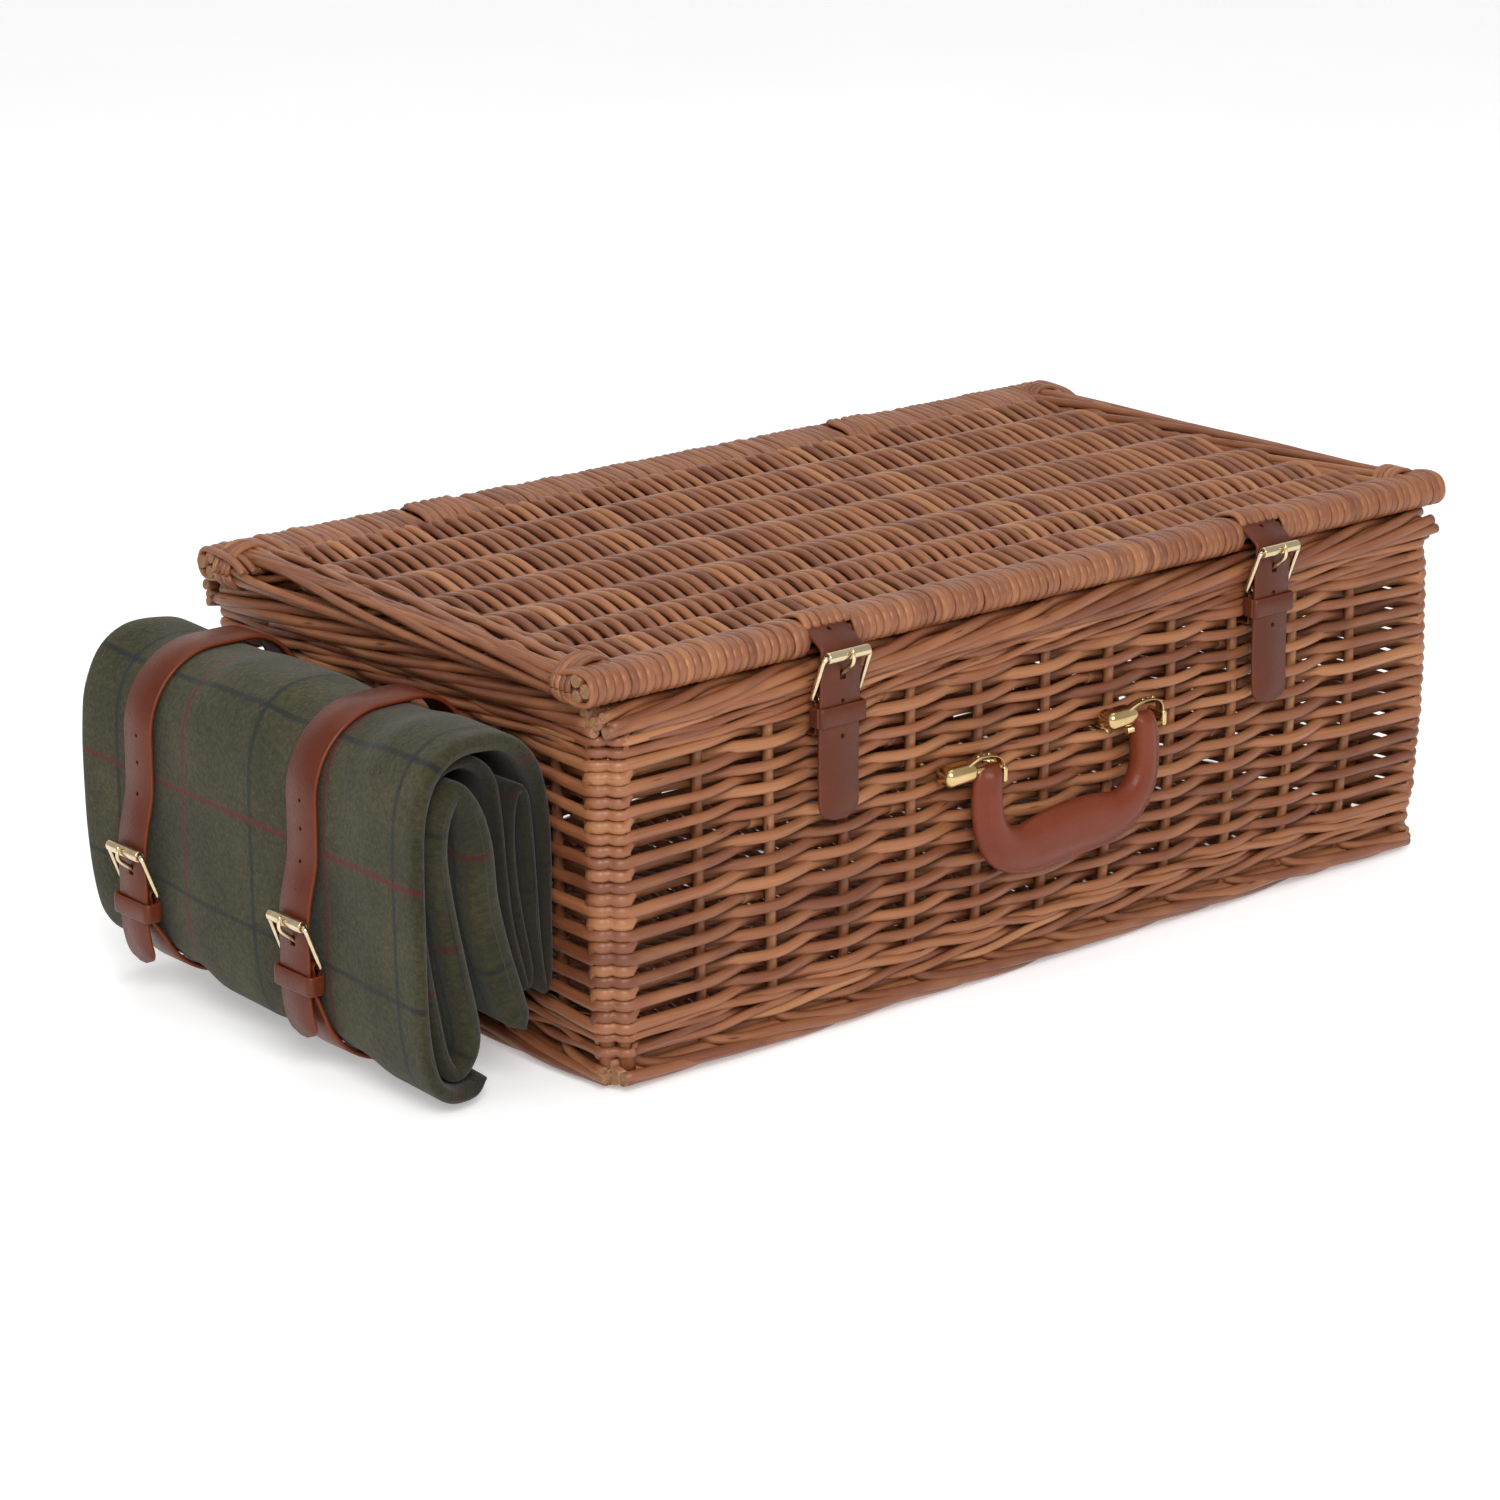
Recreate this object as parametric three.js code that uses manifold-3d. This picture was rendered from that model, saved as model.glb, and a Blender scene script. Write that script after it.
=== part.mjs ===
// Wicker picnic basket with a leather-strapped lid, a carrying handle, and a folded blanket
// belted to its left end. Millimetres. +X runs along the front, +Y to the back, +Z up.
// The origin is the centre of the underside, on the surface that the basket stands on.

import * as THREE from 'three';
import { mergeVertices } from 'three/addons/utils/BufferGeometryUtils.js';
import Module from 'manifold-3d';

const wasm = await Module();
wasm.setup();

// ---------------------------------------------------------------- driving dimensions

// Basket body
const BODY_LENGTH = 545;
const BODY_DEPTH = 300;
const WALL_THICKNESS = 12;
const FOOT_HEIGHT = 12;
const WALL_TOP = 166.2;
const CORNER_SIZE = 18;
const CORNER_RADIUS = 8;
const BORDER_WIDTH = 15;
const BORDER_OVERHANG = 2.5;
const BORDER_BOTTOM = 166.5;
const BORDER_TOP = 180.6;
const FOOT_OVERHANG = 1.5;
const GAP = 0.3;

// Lid
const LID_Z = 189;
const LID_HALF_LENGTH = 276;
const STICK_END = 284;
const STICK_END_RADIUS = 4.5;
const RAIL_Y = 141.6;
const RAIL_RADIUS = 7.6;
const NECK_RADIUS = 5;
const LID_THICKNESS = 11;
const SIDE_RAIL_WIDTH = 14;

// Leather and brass, shared by the closures and the blanket belts
const CLOSURE_XS = [-142, 142];
const HINGE_XS = [-149, 128];
const STRAP_WIDTH = 24;
const STRAP_THICKNESS = 2.2;
const LOOP_CLEARANCE = 0.4;
const BUCKLE_WIRE = 1.3;
const BUCKLE_HALF_WIDTH = 14.2;
const ROLLER_RADIUS = 2.6;
const ROLLER_BORE = 1.6;
const ROLLER_LENGTH = 24.8;
const ROLLER_RISE = 21;
const EYE_BORE = 1.6;
const EYE_RADIUS = 2.6;
const TONGUE_THICKNESS = 2.4;
const TONGUE_SLOT = 5;
const SLOT_TOP = 12.5;
const TAIL_CLEARANCE = 0.5;
const KEEPER_HEIGHT = 9;
const KEEPER_THICKNESS = 1.3;
const KEEPER_CLEARANCE = 2;
const STEM_THICKNESS = 2.2;

// Front closures
const PIVOT_OUT = 3.8;
const PIVOT_Z = 163;
const CLOSURE_TIP_Z = 107;
const THREAD_Z = 146;
const THREAD_TAB = 16;

// Handle
const HANDLE_PIVOT_Z = 111;
const HANDLE_OUT = 9.5;
const LEG_X = 54.5;
const LEG_WIDTH = 13.5;
const GRIP_DEPTH = 11;
const GRIP_DROP = 56;
const GRIP_HEIGHT = 28;
const PIN_RADIUS = 1.6;
const PIN_GRIP = 8;
const BRACKET_SHEET = 1.6;
const LUG_LENGTH = 14;
const LUG_HEIGHT = 9;
const STUD_RADIUS = 1.8;

// Blanket and its belts
const BLANKET_NEAR = -125;
const BLANKET_FAR = 137;
const BLANKET_OUTER = 356;
const BLANKET_BASE = 3.2;
const BLANKET_TOP = 169;
const BLANKET_LIFT = 14;
const BELT_GAP = 0.5;
const BELT_YS = [-43, 86];
const BELT_PIVOT_Z = 57;
const BELT_TIP_Z = 20;

// Worked out from the above
const HALF_LENGTH = BODY_LENGTH / 2;
const HALF_DEPTH = BODY_DEPTH / 2;
const TAIL_INNER = EYE_RADIUS + TAIL_CLEARANCE;
const TAIL_MIDDLE = TAIL_INNER + STRAP_THICKNESS / 2;
const ROLLER_OUT = TAIL_INNER + STRAP_THICKNESS + LOOP_CLEARANCE + ROLLER_RADIUS;
const LUG_START = LEG_WIDTH / 2 + 2 * GAP;
const STUD_X = LUG_START + LUG_LENGTH / 2;
const LOOP_INNER = NECK_RADIUS + LOOP_CLEARANCE;
const LOOP_OUTER = LOOP_INNER + STRAP_THICKNESS;

// ---------------------------------------------------------------- materials

const willow = (color) => new THREE.MeshStandardMaterial({ color, roughness: 0.55, metalness: 0 });
const leather = (color) => new THREE.MeshStandardMaterial({ color, roughness: 0.5, metalness: 0 });
const brass = () => new THREE.MeshStandardMaterial({ color: 0xd8b56a, roughness: 0.2, metalness: 1 });
const wool = () => new THREE.MeshStandardMaterial({ color: 0x3d4031, roughness: 0.95, metalness: 0 });

const WILLOW = 0x8f5a40;
const WILLOW_DARK = 0x7d4a34;
const WILLOW_PALE = 0xa06a4c;
const LEATHER = 0x74402f;
const LEATHER_TAN = 0x8a4a33;

// ---------------------------------------------------------------- building blocks

function part(name, geometry, material) {
  const mesh = new THREE.Mesh(geometry, material);
  mesh.name = name;
  return mesh;
}

// A closed geometry as a solid that can be joined and cut
function toSolid(geometry) {
  const bare = geometry.clone();
  bare.deleteAttribute('normal');
  bare.deleteAttribute('uv');
  const merged = mergeVertices(bare, 1e-4);
  return new wasm.Manifold(new wasm.Mesh({
    numProp: 3,
    vertProperties: new Float32Array(merged.attributes.position.array),
    triVerts: new Uint32Array(merged.index.array),
  }));
}

function toGeometry(solid) {
  const mesh = solid.getMesh();
  const geometry = new THREE.BufferGeometry();
  geometry.setAttribute('position', new THREE.BufferAttribute(mesh.vertProperties, 3));
  geometry.setIndex(new THREE.BufferAttribute(mesh.triVerts, 1));
  geometry.computeVertexNormals();
  return geometry;
}

function join(geometries) {
  const solids = geometries.map(toSolid);
  return toGeometry(solids.reduce((whole, solid) => whole.add(solid)));
}

function cut(geometry, cutters) {
  return toGeometry(cutters.map(toSolid).reduce((whole, solid) => whole.subtract(solid), toSolid(geometry)));
}

function block(x0, x1, y0, y1, z0, z1) {
  const geometry = new THREE.BoxGeometry(x1 - x0, y1 - y0, z1 - z0);
  return geometry.translate((x0 + x1) / 2, (y0 + y1) / 2, (z0 + z1) / 2);
}

// A round bar from one point to another
function rod(from, to, radius, sides = 12) {
  const start = new THREE.Vector3(...from);
  const along = new THREE.Vector3(...to).sub(start);
  const geometry = new THREE.CylinderGeometry(radius, radius, along.length(), sides);
  geometry.translate(0, along.length() / 2, 0);
  const turn = new THREE.Quaternion().setFromUnitVectors(new THREE.Vector3(0, 1, 0), along.normalize());
  return geometry.applyQuaternion(turn).translate(start.x, start.y, start.z);
}

// Wire bent round a closed loop of points, with a ball at each bend
function wireLoop(points, radius, sides = 8) {
  const pieces = points.flatMap((point, i) => [
    new THREE.SphereGeometry(radius, sides, 4).translate(...point),
    rod(point, points[(i + 1) % points.length], radius, sides)]);
  return join(pieces);
}

// A solid of revolution about the X axis, from a profile of [radius, x] pairs
function turnedAboutX(profile, sides) {
  const points = profile.map(([radius, x]) => new THREE.Vector2(radius, x));
  return new THREE.LatheGeometry(points, sides).rotateZ(-Math.PI / 2);
}

// A tube along X, centred on the origin
function tubeAlongX(bore, radius, length, sides) {
  const half = length / 2;
  return turnedAboutX([[bore, -half], [radius, -half], [radius, half], [bore, half], [bore, -half]], sides);
}

// A rectangle with a radius for each corner, counter-clockwise from the lowest u and v
function roundedRectangle(u0, v0, u1, v1, radii) {
  const [a, b, c, d] = Array.isArray(radii) ? radii : [radii, radii, radii, radii];
  const shape = new THREE.Shape();
  shape.absarc(u0 + a, v0 + a, a, Math.PI, 1.5 * Math.PI);
  shape.absarc(u1 - b, v0 + b, b, 1.5 * Math.PI, 2 * Math.PI);
  shape.absarc(u1 - c, v1 - c, c, 0, 0.5 * Math.PI);
  shape.absarc(u0 + d, v1 - d, d, 0.5 * Math.PI, Math.PI);
  shape.closePath();
  return shape;
}

// Shapes drawn in (y, z) and given a width along X, centred on x = 0
function extrudeX(shape, width, curveSegments = 6) {
  const geometry = new THREE.ExtrudeGeometry(shape, { depth: width, bevelEnabled: false, curveSegments });
  geometry.translate(0, 0, -width / 2);
  return geometry.applyMatrix4(new THREE.Matrix4().makeBasis(
    new THREE.Vector3(0, 1, 0), new THREE.Vector3(0, 0, 1), new THREE.Vector3(1, 0, 0)));
}

// Shapes drawn in (x, z) and given a width along Y, centred on y = 0
function extrudeY(shape, width, curveSegments = 6) {
  const geometry = new THREE.ExtrudeGeometry(shape, { depth: width, bevelEnabled: false, curveSegments });
  geometry.translate(0, 0, -width / 2);
  return geometry.applyMatrix4(new THREE.Matrix4().makeBasis(
    new THREE.Vector3(1, 0, 0), new THREE.Vector3(0, 0, 1), new THREE.Vector3(0, -1, 0)));
}

// The outline of a flat strip of even thickness that follows a path on edge
function strip(path, thickness, divisions = 4) {
  const centre = path.getPoints(divisions).filter((p, i, all) => i === 0 || p.distanceTo(all[i - 1]) > 0.01);
  const offset = (side) => centre.map((point, i) => {
    const before = centre[Math.max(i - 1, 0)];
    const after = centre[Math.min(i + 1, centre.length - 1)];
    const into = point.clone().sub(before).normalize();
    const out = after.clone().sub(point).normalize();
    const normal = into.add(out).normalize();
    const stretch = 1 / Math.max(0.5, normal.dot(after.clone().sub(i ? point : before).normalize() || normal));
    const reach = (side * thickness) / 2 * (i === 0 || i === centre.length - 1 ? 1 : stretch);
    return new THREE.Vector2(point.x - normal.y * reach, point.y + normal.x * reach);
  });
  return new THREE.Shape([...offset(1), ...offset(-1).reverse()]);
}

// A flat ring, on edge, stretched upwards by rise
function ring(inner, outer, rise = 0) {
  const shape = new THREE.Shape();
  shape.absarc(0, rise, outer, 0, Math.PI);
  shape.absarc(0, 0, outer, Math.PI, 2 * Math.PI);
  shape.closePath();
  const hole = new THREE.Path();
  hole.absarc(0, rise, inner, 0, Math.PI);
  hole.absarc(0, 0, inner, Math.PI, 2 * Math.PI);
  hole.closePath();
  shape.holes.push(hole);
  return shape;
}

// ---------------------------------------------------------------- basket body

// The slots that a pair of leather straps is threaded through, in the wall at wallY
function threadSlots(xs, wallY) {
  const half = STRAP_WIDTH / 2 + 0.7;
  const reach = WALL_THICKNESS;
  return xs.map((x) => block(
    x - half, x + half, wallY - reach, wallY + reach,
    THREAD_Z - STEM_THICKNESS / 2 - LOOP_CLEARANCE, THREAD_Z + STEM_THICKNESS / 2 + LOOP_CLEARANCE));
}

// Where the handle's studs go through the front wall
function studHoles() {
  return [-LEG_X, LEG_X].flatMap((x) => [x - STUD_X, x + STUD_X]).map((x) => rod(
    [x, -HALF_DEPTH - 2, HANDLE_PIVOT_Z - 1], [x, -HALF_DEPTH + WALL_THICKNESS + 2, HANDLE_PIVOT_Z - 1],
    STUD_RADIUS + GAP));
}

function walls() {
  const x = HALF_LENGTH - CORNER_SIZE - GAP;
  const y = HALF_DEPTH - CORNER_SIZE - GAP;
  const z0 = FOOT_HEIGHT + GAP;
  const front = block(-x, x, -HALF_DEPTH, -HALF_DEPTH + WALL_THICKNESS, z0, WALL_TOP);
  const back = block(-x, x, HALF_DEPTH - WALL_THICKNESS, HALF_DEPTH, z0, WALL_TOP);
  const left = block(-HALF_LENGTH, -HALF_LENGTH + WALL_THICKNESS, -y, y, z0, WALL_TOP);
  const right = block(HALF_LENGTH - WALL_THICKNESS, HALF_LENGTH, -y, y, z0, WALL_TOP);
  return [
    part('wall_front', cut(front, [...threadSlots(CLOSURE_XS, -HALF_DEPTH), ...studHoles()]), willow(WILLOW)),
    part('wall_back', cut(back, threadSlots(HINGE_XS, HALF_DEPTH)), willow(WILLOW)),
    part('wall_left', left, willow(WILLOW)),
    part('wall_right', right, willow(WILLOW)),
  ];
}

function cornerPosts() {
  const names = { '-1,-1': 'front_left', '1,-1': 'front_right', '-1,1': 'back_left', '1,1': 'back_right' };
  return Object.entries(names).map(([signs, name]) => {
    const [sx, sy] = signs.split(',').map(Number);
    const section = roundedRectangle(0, 0, CORNER_SIZE, CORNER_SIZE, [2, 2, CORNER_RADIUS, 2]);
    const height = WALL_TOP - FOOT_HEIGHT - GAP;
    const geometry = new THREE.ExtrudeGeometry(section, { depth: height, bevelEnabled: false, curveSegments: 4 });
    geometry.translate(-CORNER_SIZE, -CORNER_SIZE, 0);
    const post = part(`corner_post_${name}`, geometry, willow(WILLOW_DARK));
    post.position.set(sx * HALF_LENGTH, sy * HALF_DEPTH, FOOT_HEIGHT + GAP);
    post.rotation.z = Math.atan2(sy, sx) - Math.PI / 4;
    return post;
  });
}

// Four lengths of a rod bundle round the body, the front and back ones over the ends of the side ones
function rimLengths(prefix, overhang, width, z0, z1, radius, color) {
  const longHalf = HALF_LENGTH + overhang;
  const sideHalf = HALF_DEPTH + overhang - width - GAP;
  const height = z1 - z0;
  const bundle = roundedRectangle(0, 0, width, height, radius);
  const lengthwise = () => extrudeX(bundle, 2 * longHalf, 3);
  const crosswise = () => extrudeY(bundle, 2 * sideHalf, 3);
  const front = part(`${prefix}_front`, lengthwise(), willow(color));
  front.position.set(0, -HALF_DEPTH - overhang, z0);
  const back = part(`${prefix}_back`, lengthwise(), willow(color));
  back.position.set(0, HALF_DEPTH + overhang - width, z0);
  const left = part(`${prefix}_left`, crosswise(), willow(color));
  left.position.set(-HALF_LENGTH - overhang, 0, z0);
  const right = part(`${prefix}_right`, crosswise(), willow(color));
  right.position.set(HALF_LENGTH + overhang - width, 0, z0);
  return [front, back, left, right];
}

function basePanel() {
  const x = HALF_LENGTH + FOOT_OVERHANG - WALL_THICKNESS - 2 * GAP;
  const y = HALF_DEPTH + FOOT_OVERHANG - WALL_THICKNESS - 2 * GAP;
  return part('base_panel', block(-x, x, -y, y, 0, FOOT_HEIGHT), willow(WILLOW_DARK));
}

// ---------------------------------------------------------------- lid

// A round outer stick of the lid, bare where a leather loop goes round it
function lidRail(name, y, loopXs) {
  const neck = STRAP_WIDTH / 2 + 0.7;
  const steps = (x) => [
    [RAIL_RADIUS, x - neck], [NECK_RADIUS, x - neck], [NECK_RADIUS, x + neck], [RAIL_RADIUS, x + neck]];
  const profile = [
    [0, -STICK_END], [STICK_END_RADIUS, -STICK_END], [STICK_END_RADIUS, -LID_HALF_LENGTH],
    [RAIL_RADIUS, -LID_HALF_LENGTH], ...loopXs.flatMap(steps), [RAIL_RADIUS, LID_HALF_LENGTH],
    [STICK_END_RADIUS, LID_HALF_LENGTH], [STICK_END_RADIUS, STICK_END], [0, STICK_END]];
  const rail = part(name, turnedAboutX(profile, 16), willow(WILLOW_PALE));
  rail.position.y = y;
  return rail;
}

function lidPanel() {
  const x = LID_HALF_LENGTH - SIDE_RAIL_WIDTH - GAP;
  const y = RAIL_Y - RAIL_RADIUS - GAP;
  const half = LID_THICKNESS / 2;
  const notchHalf = STRAP_WIDTH / 2 + 1.5;
  const notchDepth = 3.5;
  const notch = (loopX, y0, y1) => block(
    loopX - notchHalf, loopX + notchHalf, y0, y1, -LID_THICKNESS, LID_THICKNESS);
  const notches = [
    ...CLOSURE_XS.map((loopX) => notch(loopX, -y - 1, -y + notchDepth)),
    ...HINGE_XS.map((loopX) => notch(loopX, y - notchDepth, y + 1))];
  return part('lid_panel', cut(block(-x, x, -y, y, -half, half), notches), willow(WILLOW));
}

function lidSideRail(name, side) {
  const half = RAIL_Y - RAIL_RADIUS - 2 * GAP;
  const section = roundedRectangle(0, -7, SIDE_RAIL_WIDTH, 7, 5);
  const rail = part(name, extrudeY(section, 2 * half, 3), willow(WILLOW_PALE));
  rail.position.x = side < 0 ? -LID_HALF_LENGTH : LID_HALF_LENGTH - SIDE_RAIL_WIDTH;
  return rail;
}

function lid() {
  const group = new THREE.Group();
  group.add(
    lidPanel(),
    lidRail('lid_rail_front', -RAIL_Y, CLOSURE_XS),
    lidRail('lid_rail_back', RAIL_Y, HINGE_XS),
    lidSideRail('lid_rail_left', -1),
    lidSideRail('lid_rail_right', 1));
  group.position.z = LID_Z;
  return group;
}

// ---------------------------------------------------------------- leather hinges

// A loop round the lid's back rail whose free end runs down the back and through the wall
function hingeStrap(name, x) {
  const rise = 2;
  const middle = (LOOP_INNER + LOOP_OUTER) / 2;
  const leave = THREE.MathUtils.degToRad(35);
  const down = HALF_DEPTH + BORDER_OVERHANG + LOOP_CLEARANCE + STRAP_THICKNESS / 2;
  const startY = RAIL_Y + middle * Math.cos(leave);
  const startZ = LID_Z + rise + middle * Math.sin(leave);
  const kneeZ = startZ - (down - startY) / Math.tan(leave);
  const inside = HALF_DEPTH - WALL_THICKNESS - STEM_THICKNESS;
  const path = new THREE.Path();
  path.moveTo(startY, startZ);
  path.lineTo(down, kneeZ);
  path.lineTo(down, THREAD_Z + 3);
  path.quadraticCurveTo(down, THREAD_Z, down - 3, THREAD_Z);
  path.lineTo(inside + 2, THREAD_Z);
  path.quadraticCurveTo(inside, THREAD_Z, inside, THREAD_Z - 2);
  path.lineTo(inside, THREAD_Z - THREAD_TAB);
  const loop = extrudeX(ring(LOOP_INNER, LOOP_OUTER, rise), STRAP_WIDTH).translate(0, RAIL_Y, LID_Z);
  const strap = part(name, join([loop, extrudeX(strip(path, STRAP_THICKNESS), STRAP_WIDTH)]), leather(LEATHER));
  strap.position.x = x;
  return strap;
}

// ---------------------------------------------------------------- buckles

// Built round the lower bar of the frame: width along X, -Y away from the strap's backing, +Z up
function buckleFrame(name) {
  const x = BUCKLE_HALF_WIDTH;
  const corners = [[-x, 0, 0], [-x, -ROLLER_OUT, ROLLER_RISE], [x, -ROLLER_OUT, ROLLER_RISE], [x, 0, 0]];
  return part(name, wireLoop(corners, BUCKLE_WIRE), brass());
}

function buckleRoller(name) {
  const roller = part(name, tubeAlongX(ROLLER_BORE, ROLLER_RADIUS, ROLLER_LENGTH, 14), brass());
  roller.position.set(0, -ROLLER_OUT, ROLLER_RISE);
  return roller;
}

// An eye on the lower bar and a bent pin that lies over the roller
function buckleTongue(name) {
  const path = new THREE.Path();
  path.moveTo(-1.2, 2);
  path.lineTo(-5.4, 8.4);
  path.quadraticCurveTo(-8, 11.6, -11.2, 13);
  path.quadraticCurveTo(-13.6, 15, -14, 19.5);
  path.lineTo(-13.8, 23);
  const pin = extrudeX(strip(path, TONGUE_THICKNESS), TONGUE_THICKNESS);
  const eye = extrudeX(ring(EYE_BORE, EYE_RADIUS), TONGUE_SLOT - 1.4, 5);
  const bar = rod([-TONGUE_SLOT, 0, 0], [TONGUE_SLOT, 0, 0], EYE_BORE);
  return part(name, cut(join([eye, pin]), [bar]), brass());
}

// A leather loop that holds the strap's tail down over the strap behind it
function keeper(name) {
  const halfInner = STRAP_WIDTH / 2 + 1;
  const halfOuter = halfInner + KEEPER_THICKNESS;
  const backInner = STEM_THICKNESS / 2 + LOOP_CLEARANCE;
  const frontInner = TAIL_INNER + STRAP_THICKNESS + KEEPER_CLEARANCE;
  const shape = roundedRectangle(
    -halfOuter, -frontInner - KEEPER_THICKNESS, halfOuter, backInner + KEEPER_THICKNESS, 2.4);
  shape.holes.push(roundedRectangle(-halfInner, -frontInner, halfInner, backInner, 1));
  const loop = new THREE.ExtrudeGeometry(shape, { depth: KEEPER_HEIGHT, bevelEnabled: false, curveSegments: 3 });
  const mesh = part(name, loop, leather(LEATHER));
  mesh.position.z = -EYE_RADIUS - 0.5 - KEEPER_HEIGHT;
  return mesh;
}

// Frame, roller, tongue and keeper, placed with the frame's lower bar at the group's origin
function buckle(prefix, side) {
  const group = new THREE.Group();
  group.add(
    buckleFrame(`${prefix}_buckle_frame_${side}`),
    buckleRoller(`${prefix}_buckle_roller_${side}`),
    buckleTongue(`${prefix}_buckle_tongue_${side}`),
    keeper(`${prefix}_keeper_${side}`));
  return group;
}

// The gap in a strap's eye that the tongue turns in
function tongueGap() {
  return block(-TONGUE_SLOT / 2, TONGUE_SLOT / 2, -4, 4, -3.4, 4);
}

// ---------------------------------------------------------------- front closures

// Short doubled strap: an eye on the buckle's lower bar, down, then in through the wall to a tab
function buckleStrap(name) {
  const wallFace = PIVOT_OUT;
  const inside = wallFace + WALL_THICKNESS + STEM_THICKNESS;
  const thread = THREAD_Z - PIVOT_Z;
  const path = new THREE.Path();
  path.moveTo(0, -EYE_BORE - 0.3);
  path.lineTo(0, thread + 3);
  path.quadraticCurveTo(0, thread, 3, thread);
  path.lineTo(inside - 2, thread);
  path.quadraticCurveTo(inside, thread, inside, thread - 2);
  path.lineTo(inside, thread - THREAD_TAB);
  const eye = extrudeX(ring(EYE_BORE, EYE_RADIUS), STRAP_WIDTH, 5);
  const stem = extrudeX(strip(path, STEM_THICKNESS), STRAP_WIDTH);
  return part(name, cut(join([eye, stem]), [tongueGap()]), leather(LEATHER));
}

// Loop round the lid's front rail, over its edge and down through the buckle and the keeper.
// The tail is split along its middle so that the tongue doesn't cut it as the lid lifts.
function closureStrap(name, x) {
  const middle = (LOOP_INNER + LOOP_OUTER) / 2;
  const leave = THREE.MathUtils.degToRad(50);
  const tailY = -HALF_DEPTH - PIVOT_OUT - TAIL_MIDDLE;
  const startY = -RAIL_Y - middle * Math.cos(leave);
  const startZ = LID_Z + middle * Math.sin(leave);
  const kneeZ = startZ - (startY - tailY) / Math.tan(leave);
  const path = new THREE.Path();
  path.moveTo(startY, startZ);
  path.lineTo(tailY, kneeZ);
  path.lineTo(tailY, CLOSURE_TIP_Z);
  const loop = extrudeX(ring(LOOP_INNER, LOOP_OUTER), STRAP_WIDTH).translate(0, -RAIL_Y, LID_Z);
  const tail = extrudeX(strip(path, STRAP_THICKNESS), STRAP_WIDTH);
  const slot = block(
    -TONGUE_SLOT / 2, TONGUE_SLOT / 2, tailY - 5, tailY + 5, CLOSURE_TIP_Z - 5, PIVOT_Z + SLOT_TOP);
  const strap = part(name, cut(join([loop, tail]), [slot]), leather(LEATHER));
  strap.position.x = x;
  return strap;
}

function closure(side, x) {
  const fittings = buckle('closure', side);
  fittings.add(buckleStrap(`buckle_strap_${side}`));
  fittings.position.set(x, -HALF_DEPTH - PIVOT_OUT, PIVOT_Z);
  const group = new THREE.Group();
  group.add(fittings, closureStrap(`closure_strap_${side}`, x));
  return group;
}

// ---------------------------------------------------------------- handle

// Drawn about the pivots' line: two legs, and a deep grip joining them
function gripOutline() {
  const outer = LEG_X + LEG_WIDTH / 2;
  const inner = LEG_X - LEG_WIDTH / 2;
  const top = GRIP_DEPTH / 2;
  const bottom = -GRIP_DROP;
  const palm = bottom + GRIP_HEIGHT;
  const shape = new THREE.Shape();
  shape.moveTo(-outer, top);
  shape.lineTo(-outer, bottom + 42);
  shape.quadraticCurveTo(-outer, bottom, -outer + 44, bottom);
  shape.lineTo(outer - 44, bottom);
  shape.quadraticCurveTo(outer, bottom, outer, bottom + 42);
  shape.lineTo(outer, top);
  shape.lineTo(inner, top);
  shape.lineTo(inner, palm + 14);
  shape.quadraticCurveTo(inner, palm - 3, inner - 15, palm - 3);
  shape.quadraticCurveTo(0, palm + 5, -inner + 15, palm - 3);
  shape.quadraticCurveTo(-inner, palm - 3, -inner, palm + 14);
  shape.lineTo(-inner, top);
  shape.closePath();
  return shape;
}

function grip() {
  const bevel = 2.5;
  const body = new THREE.ExtrudeGeometry(gripOutline(), {
    depth: GRIP_DEPTH - 2 * bevel, bevelThickness: bevel, bevelSize: bevel, bevelOffset: -bevel,
    bevelSegments: 2, curveSegments: 6 });
  body.translate(0, 0, -(GRIP_DEPTH - 2 * bevel) / 2);
  body.rotateX(Math.PI / 2);
  const reach = LEG_X + LEG_WIDTH;
  const bore = rod([-reach, 0, 0], [reach, 0, 0], PIN_RADIUS + GAP, 12);
  return part('handle_grip', cut(body, [bore]), leather(LEATHER_TAN));
}

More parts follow.
